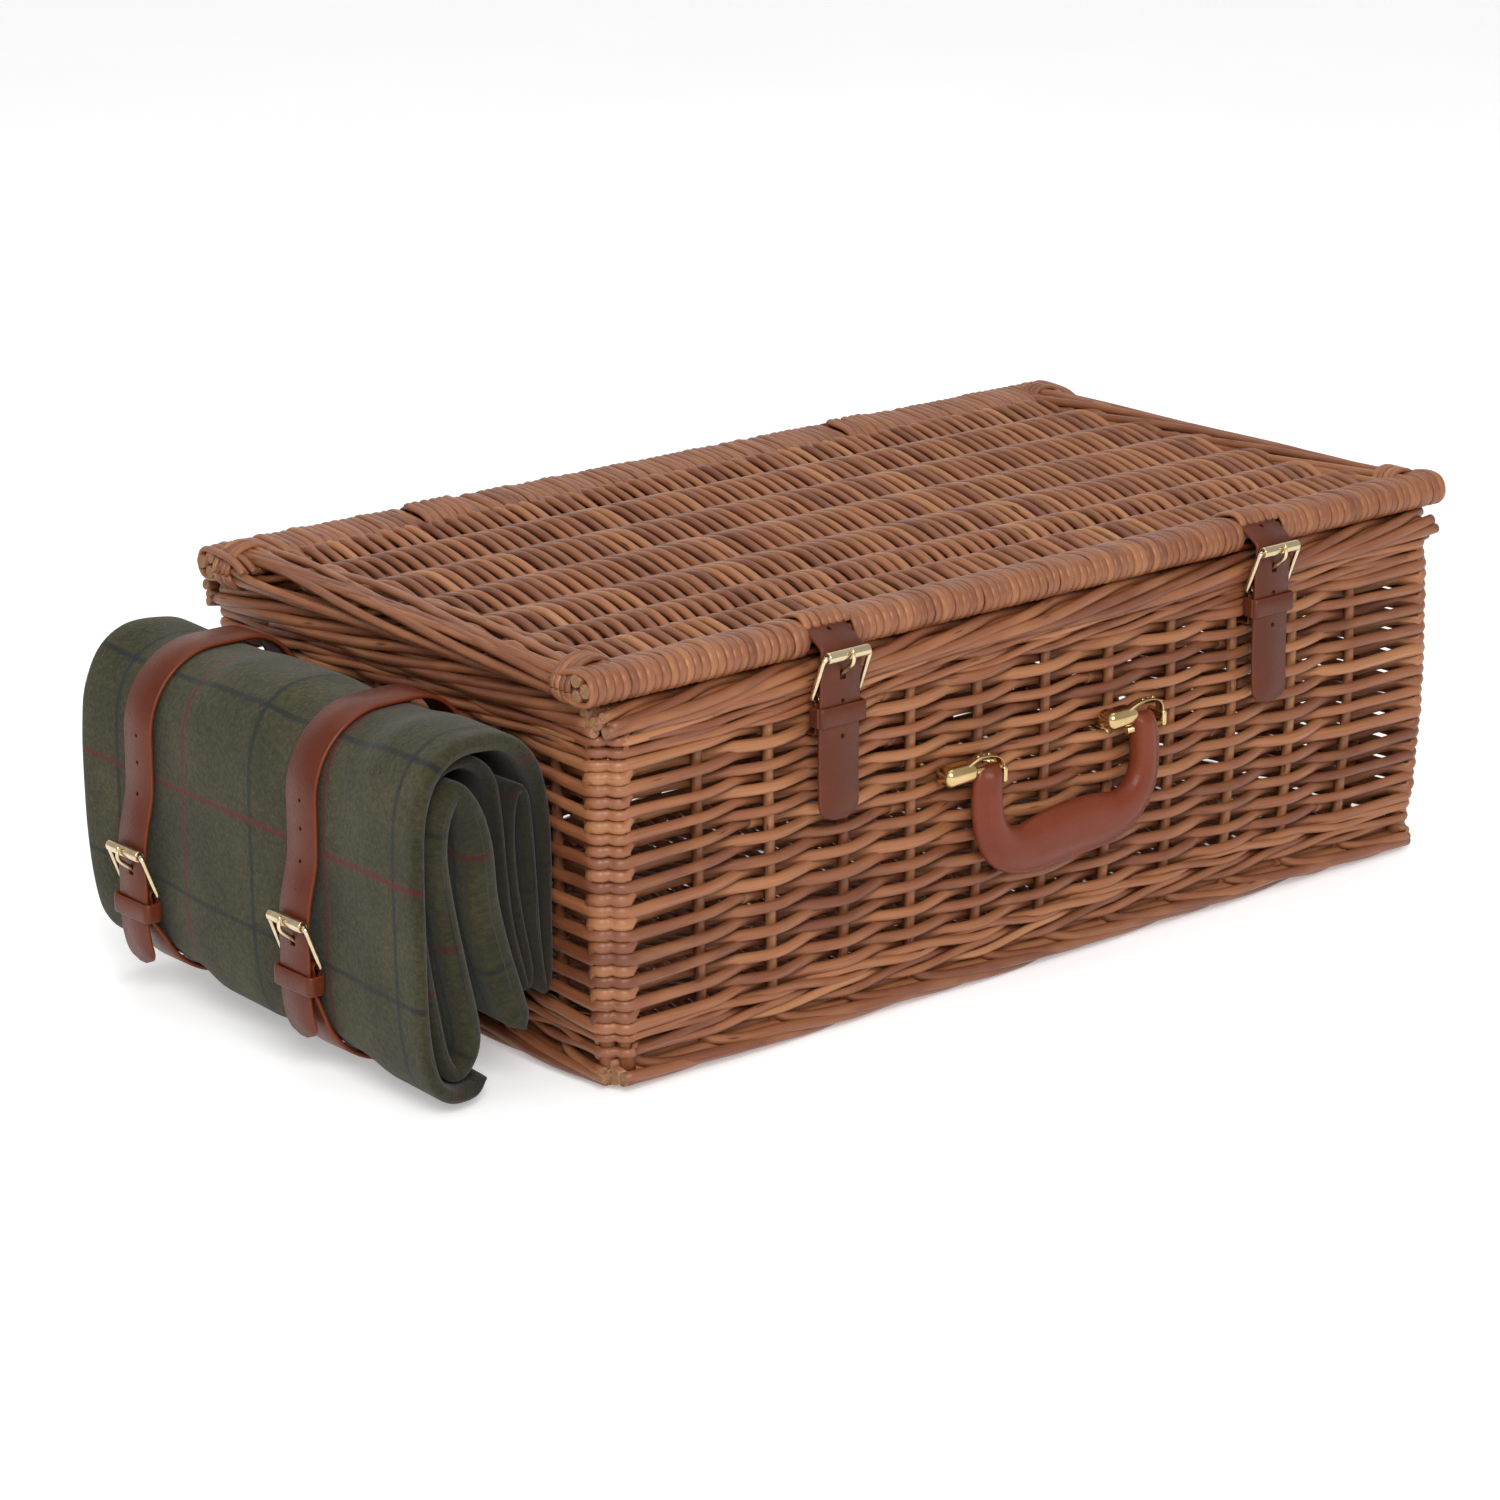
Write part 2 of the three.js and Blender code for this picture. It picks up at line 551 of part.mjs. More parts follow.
// A brass saddle over the leg's top: two rounded lugs, an arch between them, and a stud behind each
// lug. Each lug has a blind bore for its end of the pin.
function handleBracket(name) {
  const wall = HANDLE_OUT - GAP;
  const front = -3.4;
  const arch = 8;
  const centreZ = -1;
  const sides = [-1, 1];
  const lugs = sides.map((side) => {
    const bevel = 2;
    const outline = roundedRectangle(-LUG_LENGTH / 2, -LUG_HEIGHT / 2, LUG_LENGTH / 2, LUG_HEIGHT / 2, 3.5);
    const lug = new THREE.ExtrudeGeometry(outline, {
      depth: wall - front - 2 * bevel, bevelThickness: bevel, bevelSize: bevel, bevelOffset: -bevel,
      bevelSegments: 2, curveSegments: 3 });
    return lug.rotateX(Math.PI / 2).translate(side * STUD_X, wall - bevel, centreZ);
  });
  const studs = sides.map((side) => rod(
    [side * STUD_X, wall - 1, centreZ], [side * STUD_X, wall + WALL_THICKNESS + 4, centreZ], STUD_RADIUS, 10));
  const hoop = new THREE.Shape();
  const reach = LUG_START + BRACKET_SHEET;
  hoop.moveTo(-reach, 0);
  hoop.lineTo(reach, 0);
  hoop.lineTo(reach, arch - 2);
  hoop.quadraticCurveTo(reach, arch + BRACKET_SHEET, reach - 4, arch + BRACKET_SHEET);
  hoop.lineTo(-reach + 4, arch + BRACKET_SHEET);
  hoop.quadraticCurveTo(-reach, arch + BRACKET_SHEET, -reach, arch - 2);
  hoop.closePath();
  const hoopBlock = extrudeY(hoop, 6, 3).translate(0, wall - 3, 0);
  const legSpace = block(-LUG_START, LUG_START, -20, 20, -20, arch);
  const bore = rod([-LUG_START - PIN_GRIP - GAP, 0, 0], [LUG_START + PIN_GRIP + GAP, 0, 0], PIN_RADIUS + GAP);
  return part(name, cut(join([...lugs, hoopBlock, ...studs]), [legSpace, bore]), brass());
}

function handlePin(name) {
  const end = LUG_START + PIN_GRIP;
  return part(name, rod([-end, 0, 0], [end, 0, 0], PIN_RADIUS), brass());
}

// Plate inside the wall that a bracket's studs are clenched over
function backingPlate(name) {
  const wallInside = HANDLE_OUT + WALL_THICKNESS;
  const plate = block(-STUD_X - 6, STUD_X + 6, wallInside + GAP, wallInside + GAP + 1.2, -6, 4);
  const holes = [-STUD_X, STUD_X].map((x) => rod(
    [x, wallInside - 2, -1], [x, wallInside + 5, -1], STUD_RADIUS + 0.2, 12));
  return part(name, cut(plate, holes), brass());
}

function handle() {
  const group = new THREE.Group();
  group.add(grip());
  for (const [side, x] of [['left', -LEG_X], ['right', LEG_X]]) {
    const mount = new THREE.Group();
    mount.add(
      handleBracket(`handle_bracket_${side}`),
      handlePin(`handle_pin_${side}`),
      backingPlate(`handle_backing_plate_${side}`));
    mount.position.x = x;
    group.add(mount);
  }
  group.position.set(0, -HALF_DEPTH - HANDLE_OUT, HANDLE_PIVOT_Z);
  return group;
}

// ---------------------------------------------------------------- blanket and belts

const BLANKET_INNER = HALF_LENGTH + 2 * BELT_GAP + STRAP_THICKNESS;
const BLANKET_RADII = { lowerOuter: 38, lowerInner: 14, upperInner: 26, upperOuter: 36 };

// The blanket's underside rises a little towards its far end
function blanketBase(y) {
  return BLANKET_BASE + (BLANKET_LIFT * (y - BLANKET_NEAR)) / (BLANKET_FAR - BLANKET_NEAR);
}

function blanket() {
  const { lowerOuter, lowerInner, upperInner, upperOuter } = BLANKET_RADII;
  const section = roundedRectangle(
    -BLANKET_OUTER, BLANKET_BASE, -BLANKET_INNER, BLANKET_TOP, [lowerOuter, lowerInner, upperInner, upperOuter]);
  const bundle = extrudeY(section, BLANKET_FAR - BLANKET_NEAR).translate(0, (BLANKET_NEAR + BLANKET_FAR) / 2, 0);
  const spots = bundle.attributes.position;
  const halfway = (BLANKET_BASE + BLANKET_TOP) / 2;
  for (let i = 0; i < spots.count; i += 1) {
    if (spots.getZ(i) < halfway) {
      spots.setZ(i, spots.getZ(i) + blanketBase(spots.getY(i)) - BLANKET_BASE);
    }
  }
  return part('blanket', bundle, wool());
}

// One belt: an eye on the buckle, down the outside, under the blanket, up between it and the wall,
// over the top, and down through the buckle and the keeper to its tip
function blanketBelt(name, pivotX, base) {
  const { lowerOuter, lowerInner, upperInner, upperOuter } = BLANKET_RADII;
  const clear = BELT_GAP + STRAP_THICKNESS / 2;
  const tailX = pivotX - TAIL_MIDDLE;
  const belowKeeper = BELT_PIVOT_Z - EYE_RADIUS - KEEPER_HEIGHT - 2;
  const path = new THREE.Path();
  path.moveTo(pivotX, BELT_PIVOT_Z - EYE_BORE - 0.3);
  path.lineTo(pivotX, belowKeeper);
  path.absarc(
    -BLANKET_OUTER + lowerOuter, base + lowerOuter, lowerOuter + clear, 1.15 * Math.PI, 1.5 * Math.PI);
  path.absarc(-BLANKET_INNER - lowerInner, base + lowerInner, lowerInner + clear, 1.5 * Math.PI, 2 * Math.PI);
  path.absarc(-BLANKET_INNER - upperInner, BLANKET_TOP - upperInner, upperInner + clear, 0, 0.5 * Math.PI);
  path.absarc(-BLANKET_OUTER + upperOuter, BLANKET_TOP - upperOuter, upperOuter + clear, 0.5 * Math.PI, Math.PI);
  path.lineTo(-BLANKET_OUTER - clear, BELT_PIVOT_Z + 50);
  path.lineTo(tailX, BELT_PIVOT_Z + ROLLER_RISE + 6);
  path.lineTo(tailX, belowKeeper);
  path.lineTo(tailX + 5, BELT_TIP_Z + base / 2);
  const band = extrudeY(strip(path, STRAP_THICKNESS, 5), STRAP_WIDTH);
  const eye = extrudeY(ring(EYE_BORE, EYE_RADIUS), STRAP_WIDTH, 5).translate(pivotX, 0, BELT_PIVOT_Z);
  const turn = tongueGap().rotateZ(Math.PI / 2).translate(pivotX, 0, BELT_PIVOT_Z);
  const hole = block(
    tailX - 3, tailX + 3, -TONGUE_SLOT / 2, TONGUE_SLOT / 2, BELT_PIVOT_Z - 3.2, BELT_PIVOT_Z + SLOT_TOP);
  return part(name, cut(join([band, eye]), [turn, hole]), leather(LEATHER_TAN));
}

function blanketStraps() {
  const stem = STEM_THICKNESS / 2 + 2 * LOOP_CLEARANCE + KEEPER_THICKNESS;
  const pivotX = -BLANKET_OUTER - Math.max(stem, EYE_RADIUS + BELT_GAP);
  return BELT_YS.map((y, i) => {
    const side = ['near', 'far'][i];
    const group = new THREE.Group();
    const fittings = buckle('belt', side);
    fittings.position.set(pivotX, 0, BELT_PIVOT_Z);
    fittings.rotation.z = -Math.PI / 2;
    const base = blanketBase(y - STRAP_WIDTH / 2);
    group.add(blanketBelt(`blanket_belt_${side}`, pivotX, base), fittings);
    group.position.y = y;
    return group;
  });
}

// ---------------------------------------------------------------- the whole basket

const basket = new THREE.Group();
basket.name = 'picnic_basket';
basket.add(
  basePanel(),
  ...walls(),
  ...cornerPosts(),
  ...rimLengths('border', BORDER_OVERHANG, BORDER_WIDTH, BORDER_BOTTOM, BORDER_TOP, 5, WILLOW_PALE),
  ...rimLengths('foot_border', FOOT_OVERHANG, WALL_THICKNESS, 0, FOOT_HEIGHT, 3, WILLOW_DARK),
  lid(),
  hingeStrap('hinge_strap_left', HINGE_XS[0]),
  hingeStrap('hinge_strap_right', HINGE_XS[1]),
  closure('left', CLOSURE_XS[0]),
  closure('right', CLOSURE_XS[1]),
  handle(),
  blanket(),
  ...blanketStraps());

export default basket;
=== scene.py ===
"""The look of a wicker picnic basket with a strapped-on blanket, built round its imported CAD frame.

Every length here is in millimetres until a mesh is made, which is in metres. +X runs along the front,
+Y to the back and +Z up, as in the CAD.
"""
import math

import bpy
import numpy as np
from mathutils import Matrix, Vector


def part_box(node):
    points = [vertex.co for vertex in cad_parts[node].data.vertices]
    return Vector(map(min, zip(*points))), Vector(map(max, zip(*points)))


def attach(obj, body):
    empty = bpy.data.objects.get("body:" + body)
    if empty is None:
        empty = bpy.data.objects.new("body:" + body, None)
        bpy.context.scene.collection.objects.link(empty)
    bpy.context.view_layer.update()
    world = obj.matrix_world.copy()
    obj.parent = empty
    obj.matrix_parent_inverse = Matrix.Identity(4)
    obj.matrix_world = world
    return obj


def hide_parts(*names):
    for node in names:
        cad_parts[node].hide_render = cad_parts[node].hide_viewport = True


MM = 0.001
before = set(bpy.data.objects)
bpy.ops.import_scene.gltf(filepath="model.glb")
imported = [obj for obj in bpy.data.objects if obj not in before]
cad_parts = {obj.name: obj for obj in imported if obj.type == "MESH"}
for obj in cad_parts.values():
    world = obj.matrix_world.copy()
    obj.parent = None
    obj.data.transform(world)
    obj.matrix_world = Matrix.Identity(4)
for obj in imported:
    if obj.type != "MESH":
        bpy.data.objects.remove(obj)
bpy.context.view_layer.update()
rng = np.random.default_rng(29)


def box_mm(node):
    """The lowest and highest corners of a CAD node, in millimetres."""
    low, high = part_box(node)
    return np.array(low) / MM, np.array(high) / MM


def middle(node):
    low, high = box_mm(node)
    return (low + high) / 2


# ---------------------------------------------------------------- sizes

HALF_LENGTH = -box_mm("wall_left")[0][0]
HALF_DEPTH = -box_mm("wall_front")[0][1]
WALL_TOP = box_mm("wall_front")[1][2]
LID_Z = middle("lid_panel")[2]
RAIL_Y = -middle("lid_rail_front")[1]
LID_HALF_LENGTH = box_mm("lid_rail_right")[1][0]
CLOSURE_XS = [middle(f"closure_strap_{side}")[0] for side in ("left", "right")]
HINGE_XS = [middle(f"hinge_strap_{side}")[0] for side in ("left", "right")]

# The body's weave. A wall's stakes stand WALL_MIDDLE in from its outer face, and each corner has two posts,
# POST_INSET along each wall. A wale's two numbers are its height and how steeply its strands cross.
STAKE_SPACING = 43.0
STAKE_RADIUS = 2.6
POST_RADIUS = 4.0
POST_INSET = 12.0
WEAVER_RADIUS = 2.9
WALE_RADIUS = 2.2
ROW_PITCH = 5.6
WALL_MIDDLE = 7.0
INSIDE_DROP = 2.4
CORNER_POINTS = 9
WALES = ((19.0, 2.4), (26.0, -2.0), (WALL_TOP - 7.5, 1.8), (WALL_TOP - 2.0, 1.8))
NEAR_WEAVE = {"drop": INSIDE_DROP, "slant": 1.9, "fullness": 1.0}
FAR_WEAVE = {"drop": -INSIDE_DROP, "slant": 0.0, "fullness": 1.13}

# The woven panels: how far apart their weavers are, and where the lid's sticks lie along Y.
BASE_Z = 7.8
BASE_PITCH = 5.0
LID_PITCH = 3.9
LID_STICKS = np.array([-106.0, -80.0, -45.0, -3.0, 38.0, 78.0, 116.0])

# Straps go round the lid's rails at LOOP_RADIUS, and through the walls at THREAD_Z.
STRAP_WIDTH = 24.0
STRAP_THICKNESS = 2.2
BUCKLE_HALF_WIDTH = 14.2
LOOP_RADIUS = 7.4
WIRE = 1.3
THREAD_Z = 146.0

# How far the outer and inner sides of the handle's legs are from its middle, and its tilt in radians.
LEG_OUTER = 61.6
LEG_INNER = 44.6
HANDLE_TILT = 0.06

# The blanket's far end stands BLANKET_LIFT off the ground. CORNER_RADII are those of the rounded rectangle
# that the belts hold it in: lower outer, lower inner, upper inner and upper outer. Its check's lines are
# CHECK apart, and the maroon one along its face is at MAROON_Z.
BLANKET_LOW, BLANKET_HIGH = box_mm("blanket")
BLANKET_OUTER, BLANKET_INNER = -BLANKET_LOW[0], -BLANKET_HIGH[0]
BLANKET_NEAR, BLANKET_FAR = BLANKET_LOW[1], BLANKET_HIGH[1]
BLANKET_BASE, BLANKET_TOP = BLANKET_LOW[2], BLANKET_HIGH[2]
BLANKET_LENGTH = 262.0
BLANKET_LIFT = 14.0
BELT_YS = [middle(f"blanket_belt_{side}")[1] for side in ("near", "far")]
CORNER_RADII = {(-1, -1): 38.0, (1, -1): 14.0, (1, 1): 26.0, (-1, 1): 36.0}
CHECK = 54.5
MAROON_Z = 109.0

CAMERA_PLACE = (-1.424, -1.572, 0.729)
CAMERA_YAW = math.radians(40.967)
CAMERA_PITCH = math.radians(17.205)
CAMERA_LENS = 106.34


# ---------------------------------------------------------------- meshes from swept rods

def unit(vectors):
    return vectors / np.maximum(np.linalg.norm(vectors, axis=-1, keepdims=True), 1e-9)


def smooth_curve(points, step):
    """A smooth line through a few points, sampled about every step."""
    points = np.asarray(points, float)
    padded = np.vstack([2 * points[0] - points[1], points, 2 * points[-1] - points[-2]])
    samples = []
    for i in range(len(points) - 1):
        a, b, c, d = padded[i:i + 4]
        count = max(2, int(math.ceil(np.linalg.norm(c - b) / step)))
        t = np.linspace(0, 1, count, endpoint=False)[:, None]
        samples.append(0.5 * (2 * b + (c - a) * t + (2 * a - 5 * b + 4 * c - d) * t ** 2
                              + (3 * b - a - 3 * c + d) * t ** 3))
    return np.vstack([*samples, points[-1:]])


def rounded_path(corners, radius, step=3.0, closed=False):
    """A line through the corners with each one rounded off, in points no more than about step apart."""
    corners = np.asarray(corners, float)
    count = len(corners)
    radius = np.broadcast_to(np.asarray(radius, float), (count,))
    points = []
    for i in range(count):
        here = corners[i]
        if not closed and i in (0, count - 1):
            points.append(here)
            continue
        before, after = corners[i - 1] - here, corners[(i + 1) % count] - here
        reach = min(radius[i], 0.49 * np.linalg.norm(before), 0.49 * np.linalg.norm(after))
        start, end = here + unit(before) * reach, here + unit(after) * reach
        for t in np.linspace(0, 1, 7):
            points.append((1 - t) ** 2 * start + 2 * t * (1 - t) * here + t ** 2 * end)
    if closed:
        points.append(points[0])
    return resampled(np.array(points), step)


def resampled(points, step):
    """The same line with long stretches cut shorter."""
    dense = [points[:1]]
    for a, b in zip(points[:-1], points[1:]):
        count = max(1, int(math.ceil(np.linalg.norm(b - a) / step)))
        dense.append(a + (b - a) * (np.arange(1, count + 1) / count)[:, None])
    return np.vstack(dense)


class Skins:
    """Closed skins gathered into one mesh. Each is a row of rings, and its points can carry marks."""

    def __init__(self):
        self.points, self.quads, self.caps, self.marks = [], [], [], {}
        self.count = 0

    def skin(self, rings, looped=False, **marks):
        """rings is (rows, points round, 3). A looped skin joins its last ring to its first."""
        n, sides = rings.shape[:2]
        i, k = np.meshgrid(np.arange(n if looped else n - 1), np.arange(sides), indexing="ij")
        near, far = self.count + i * sides, self.count + (i + 1) % n * sides
        next_k = (k + 1) % sides
        self.quads.append(np.stack([near + k, near + next_k, far + next_k, far + k], -1).reshape(-1, 4))
        if not looped:
            first_ring = self.count + np.arange(sides)
            self.caps += [first_ring[::-1], first_ring + (n - 1) * sides]
        self.points.append(rings.reshape(-1, 3))
        for name, value in marks.items():
            value = np.asarray(value, float)
            shape = (n, sides, 3) if value.ndim == 3 else (n, sides)
            self.marks.setdefault(name, []).append(np.broadcast_to(value, shape).reshape(n * sides, -1))
        self.count += n * sides

    def rod(self, path, radius, across=(0, 0, 1), flat=1.0, shade=None, sides=8):
        """radius is the half width along across, and flat the share of it in the other direction."""
        path = np.asarray(path, float)
        n = len(path)
        shade = rng.uniform() if shade is None else shade
        radius = np.broadcast_to(np.asarray(radius, float), (n,))
        flat = np.broadcast_to(np.asarray(flat, float), (n,))
        tangent = unit(np.gradient(path, axis=0))
        across = np.broadcast_to(np.asarray(across, float), (n, 3))
        first = unit(across - tangent * np.sum(across * tangent, axis=1, keepdims=True))
        second = np.cross(tangent, first)
        angle = np.arange(sides) * 2 * math.pi / sides
        rings = (path[:, None] + first[:, None] * np.cos(angle)[None, :, None] * radius[:, None, None]
                 + second[:, None] * np.sin(angle)[None, :, None] * (radius * flat)[:, None, None])
        along = np.concatenate([[0], np.cumsum(np.linalg.norm(np.diff(path, axis=0), axis=1))])
        grain = np.empty((n, sides, 3))
        grain[..., 0] = along[:, None] + 1000 * shade
        grain[..., 1] = np.cos(angle)[None] * radius[:, None]
        grain[..., 2] = np.sin(angle)[None] * radius[:, None]
        self.skin(rings, shade=np.full((n, 1), shade), grain=grain)

    def mesh(self, name, materials):
        """The skins as one object; their flat ends wear the second material, if there is one."""
        quads = np.vstack(self.quads)
        loops = np.concatenate([quads.ravel(), *self.caps])
        sizes = np.concatenate([np.full(len(quads), 4), [len(cap) for cap in self.caps]]).astype(int)
        is_cap = np.arange(len(sizes)) >= len(quads)
        mesh = bpy.data.meshes.new(name)
        mesh.vertices.add(self.count)
        mesh.vertices.foreach_set("co", np.vstack(self.points).ravel() * MM)
        mesh.loops.add(len(loops))
        mesh.loops.foreach_set("vertex_index", loops.astype(int))
        mesh.polygons.add(len(sizes))
        mesh.polygons.foreach_set("loop_start", np.concatenate([[0], np.cumsum(sizes)[:-1]]))
        for material in materials:
            mesh.materials.append(material)
        mesh.polygons.foreach_set("material_index", is_cap.astype(np.int32) * (len(materials) > 1))
        mesh.polygons.foreach_set("use_smooth", ~is_cap)
        mesh.update(calc_edges=True)
        for mark, values in self.marks.items():
            values = np.vstack(values)
            if len(values) < self.count:
                continue  # a mark that only some of the skins carry
            kind, key = ("FLOAT_VECTOR", "vector") if values.shape[1] == 3 else ("FLOAT", "value")
            mesh.attributes.new(mark, kind, "POINT").data.foreach_set(key, values.ravel())
        piece = bpy.data.objects.new(name, mesh)
        bpy.context.scene.collection.objects.link(piece)
        return piece


def place(piece, body, slot_name, *stands_for):
    """Fastens a finished piece to its CAD body, and hides the CAD nodes it stands for."""
    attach(piece, body)
    if stands_for:
        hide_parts(*stands_for)
    return piece


# ---------------------------------------------------------------- materials

class Nodes:
    """Builds one node material: add a node, link it, read it."""

    def __init__(self, name):
        self.material = bpy.data.materials.new(name)
        self.material.use_nodes = True
        self.tree = self.material.node_tree
        self.shader = self.tree.nodes["Principled BSDF"]

    def add(self, kind, inputs=None, **settings):
        node = self.tree.nodes.new(f"ShaderNode{kind}")
        for key, value in settings.items():
            setattr(node, key, value)
        for key, value in (inputs or {}).items():
            self.put(node.inputs[key], value)
        return node

    def put(self, socket, value):
        if isinstance(value, bpy.types.NodeSocket):
            self.tree.links.new(value, socket)
        else:
            socket.default_value = value

    def attribute(self, name, output):
        return self.add("Attribute", attribute_name=name).outputs[output]

    def scaled(self, vector, scale):
        return self.add("VectorMath", {0: vector, 1: scale}, operation="MULTIPLY").outputs[0]

    def noise(self, vector, scale, detail=3.0, roughness=0.55):
        values = {"Vector": vector, "Scale": scale, "Detail": detail, "Roughness": roughness}
        return self.add("TexNoise", values).outputs["Fac"]

    def ramp(self, value, stops):
        """A colour ramp through (position, colour) stops."""
        node = self.add("ValToRGB", {"Fac": value})
        elements = node.color_ramp.elements
        while len(elements) < len(stops):
            elements.new(0.5)
        for element, (position, color) in zip(elements, stops):
            element.position = position
            element.color = (*color, 1.0)
        return node.outputs["Color"]

    def remap(self, value, low, high, to_low=0.0, to_high=1.0):
        values = {"Value": value, 1: low, 2: high, 3: to_low, 4: to_high}
        return self.add("MapRange", values, clamp=True).outputs[0]

    def math(self, operation, a, b=0.0):
        return self.add("Math", {0: a, 1: b}, operation=operation).outputs[0]

    def mix(self, factor, a, b, blend="MIX"):
        """Mixes two colours."""
        values = {0: factor, 6: a, 7: b}
        return self.add("Mix", values, data_type="RGBA", blend_type=blend).outputs[2]

    def bump(self, height, distance, strength=1.0):
        values = {"Height": height, "Distance": distance, "Strength": strength}
        self.put(self.shader.inputs["Normal"], self.add("Bump", values).outputs[0])

    def set(self, **values):
        for key, value in values.items():
            self.put(self.shader.inputs[key.replace("_", " ")], value)
        return self.material


def rgb(red, green, blue):
    """A colour from its 0-255 screen values."""
    linear = [c / 255 / 12.92 if c <= 10 else ((c / 255 + 0.055) / 1.055) ** 2.4 for c in (red, green, blue)]
    return tuple(linear)


def willow_material():
    """Steamed brown willow: each rod has its own shade, with streaks, blotches and bud scars along it."""
    n = Nodes("willow")
    shade = n.attribute("shade", "Fac")
    grain = n.attribute("grain", "Vector")
    rod_color = n.ramp(shade, [
        (0.0, rgb(110, 61, 38)), (0.3, rgb(128, 75, 47)), (0.65, rgb(145, 89, 57)), (0.9, rgb(160, 104, 67)),
        (1.0, rgb(174, 120, 79))])
    streaks = n.noise(n.scaled(grain, (0.03, 1.3, 1.3)), 1.0, 4.0)
    blotches = n.noise(n.scaled(grain, (0.035, 0.12, 0.12)), 1.0, 2.0)
    streaked = n.mix(n.remap(streaks, 0.35, 0.75, 0.0, 0.45), rod_color, (*rgb(84, 44, 28), 1))
    aged = n.mix(n.remap(blotches, 0.42, 0.7, 0.0, 0.4), streaked, (*rgb(164, 110, 68), 1))
    scars = n.add("TexVoronoi", {"Vector": n.scaled(grain, (0.028, 0.22, 0.22)), "Scale": 1.0},
                  feature="F1").outputs["Distance"]
    scarred = n.mix(n.remap(scars, 0.05, 0.12, 0.75, 0.0), aged, (*rgb(58, 32, 24), 1))
    height = n.math("ADD", n.math("MULTIPLY", streaks, 0.6), n.remap(scars, 0.02, 0.16, 1.0, 0.0))
    n.bump(height, 0.00035)
    roughness = n.remap(streaks, 0.3, 0.8, 0.34, 0.52)
    return n.set(Base_Color=scarred, Roughness=roughness, Specular_IOR_Level=0.4, Coat_Weight=0.08,
                 Coat_Roughness=0.3)


def pith_material():
    """The pale cut face at the end of a rod."""
    n = Nodes("willow_cut_end")
    place_in_rod = n.add("TexCoord").outputs["Object"]
    speckle = n.noise(place_in_rod, 900.0, 3.0)
    color = n.ramp(speckle, [(0.3, rgb(120, 84, 56)), (0.7, rgb(158, 118, 82))])
    n.bump(speckle, 0.0003)
    return n.set(Base_Color=color, Roughness=0.8)


WILLOW = [willow_material(), pith_material()]


# ---------------------------------------------------------------- basket body

class Wall:
    """One side of the body: s runs along it from one corner to the next, out away from its middle plane.
    A weaver falls by drop as it passes inside a stake, and by slant where it goes steeply through the wall.
    fullness is its share of the usual thickness."""

    def __init__(self, name, start, end, outward, stake_count, weave):
        self.name = name
        self.weave = weave
        self.start = np.array((*start, 0), float)
        self.along = unit(np.array((*end, 0), float) - self.start)
        self.length = float(np.linalg.norm(np.array((*end, 0), float) - self.start))
        self.outward = np.array((*outward, 0), float)
        spread = (stake_count - 1) * STAKE_SPACING / 2
        if stake_count * STAKE_SPACING > self.length - 2 * POST_INSET:
            spread = (self.length / 2 - POST_INSET) * (stake_count - 1) / (stake_count + 1)
        self.stakes = self.length / 2 + np.linspace(-spread, spread, stake_count)

    def point(self, s, out, z):
        """Points in the row frame from places on the wall."""
        s, out, z = (value[..., None] for value in np.broadcast_arrays(np.asarray(s, float), out, z))
        return self.start + self.along * s + self.outward * (out - WALL_MIDDLE) + np.array([0, 0, 1.0]) * z


X, Y = HALF_LENGTH, HALF_DEPTH
SIDES = ("front", "back", "left", "right")
WALLS = [
    Wall("front", (-X, -Y), (X, -Y), (0, -1), 11, NEAR_WEAVE),
    Wall("right", (X, -Y), (X, Y), (1, 0), 6, FAR_WEAVE),
    Wall("back", (X, Y), (-X, Y), (0, 1), 11, FAR_WEAVE),
    Wall("left", (-X, Y), (-X, -Y), (-1, 0), 6, NEAR_WEAVE),
]


def eased(at, stations, values):
    """Values at the stations, with a smooth wave from each to the next."""
    stations, values = np.asarray(stations, float), np.asarray(values, float)
    i = np.clip(np.searchsorted(stations, at, side="right") - 1, 0, len(stations) - 2)
    share = np.clip((at - stations[i]) / (stations[i + 1] - stations[i]), 0, 1)
    wave = 0.35 * share + 0.65 * (0.5 - 0.5 * np.cos(math.pi * share))
    return values[i] + (values[i + 1] - values[i]) * wave


def lean(points):
    """The woven body draws in a little towards its foot and swells at mid height, as the real one does."""
    points = np.array(points, float)
    height = np.clip(points[:, 2] / WALL_TOP, 0, 1)
    swell = 2.2 * np.sin(math.pi * height)
    for axis, half, foot in ((0, HALF_LENGTH, 5.0), (1, HALF_DEPTH, 0.5)):
        share = points[:, axis] / half
        points[:, axis] += share * swell - share * foot * (1 - height) ** 1.3
    return points


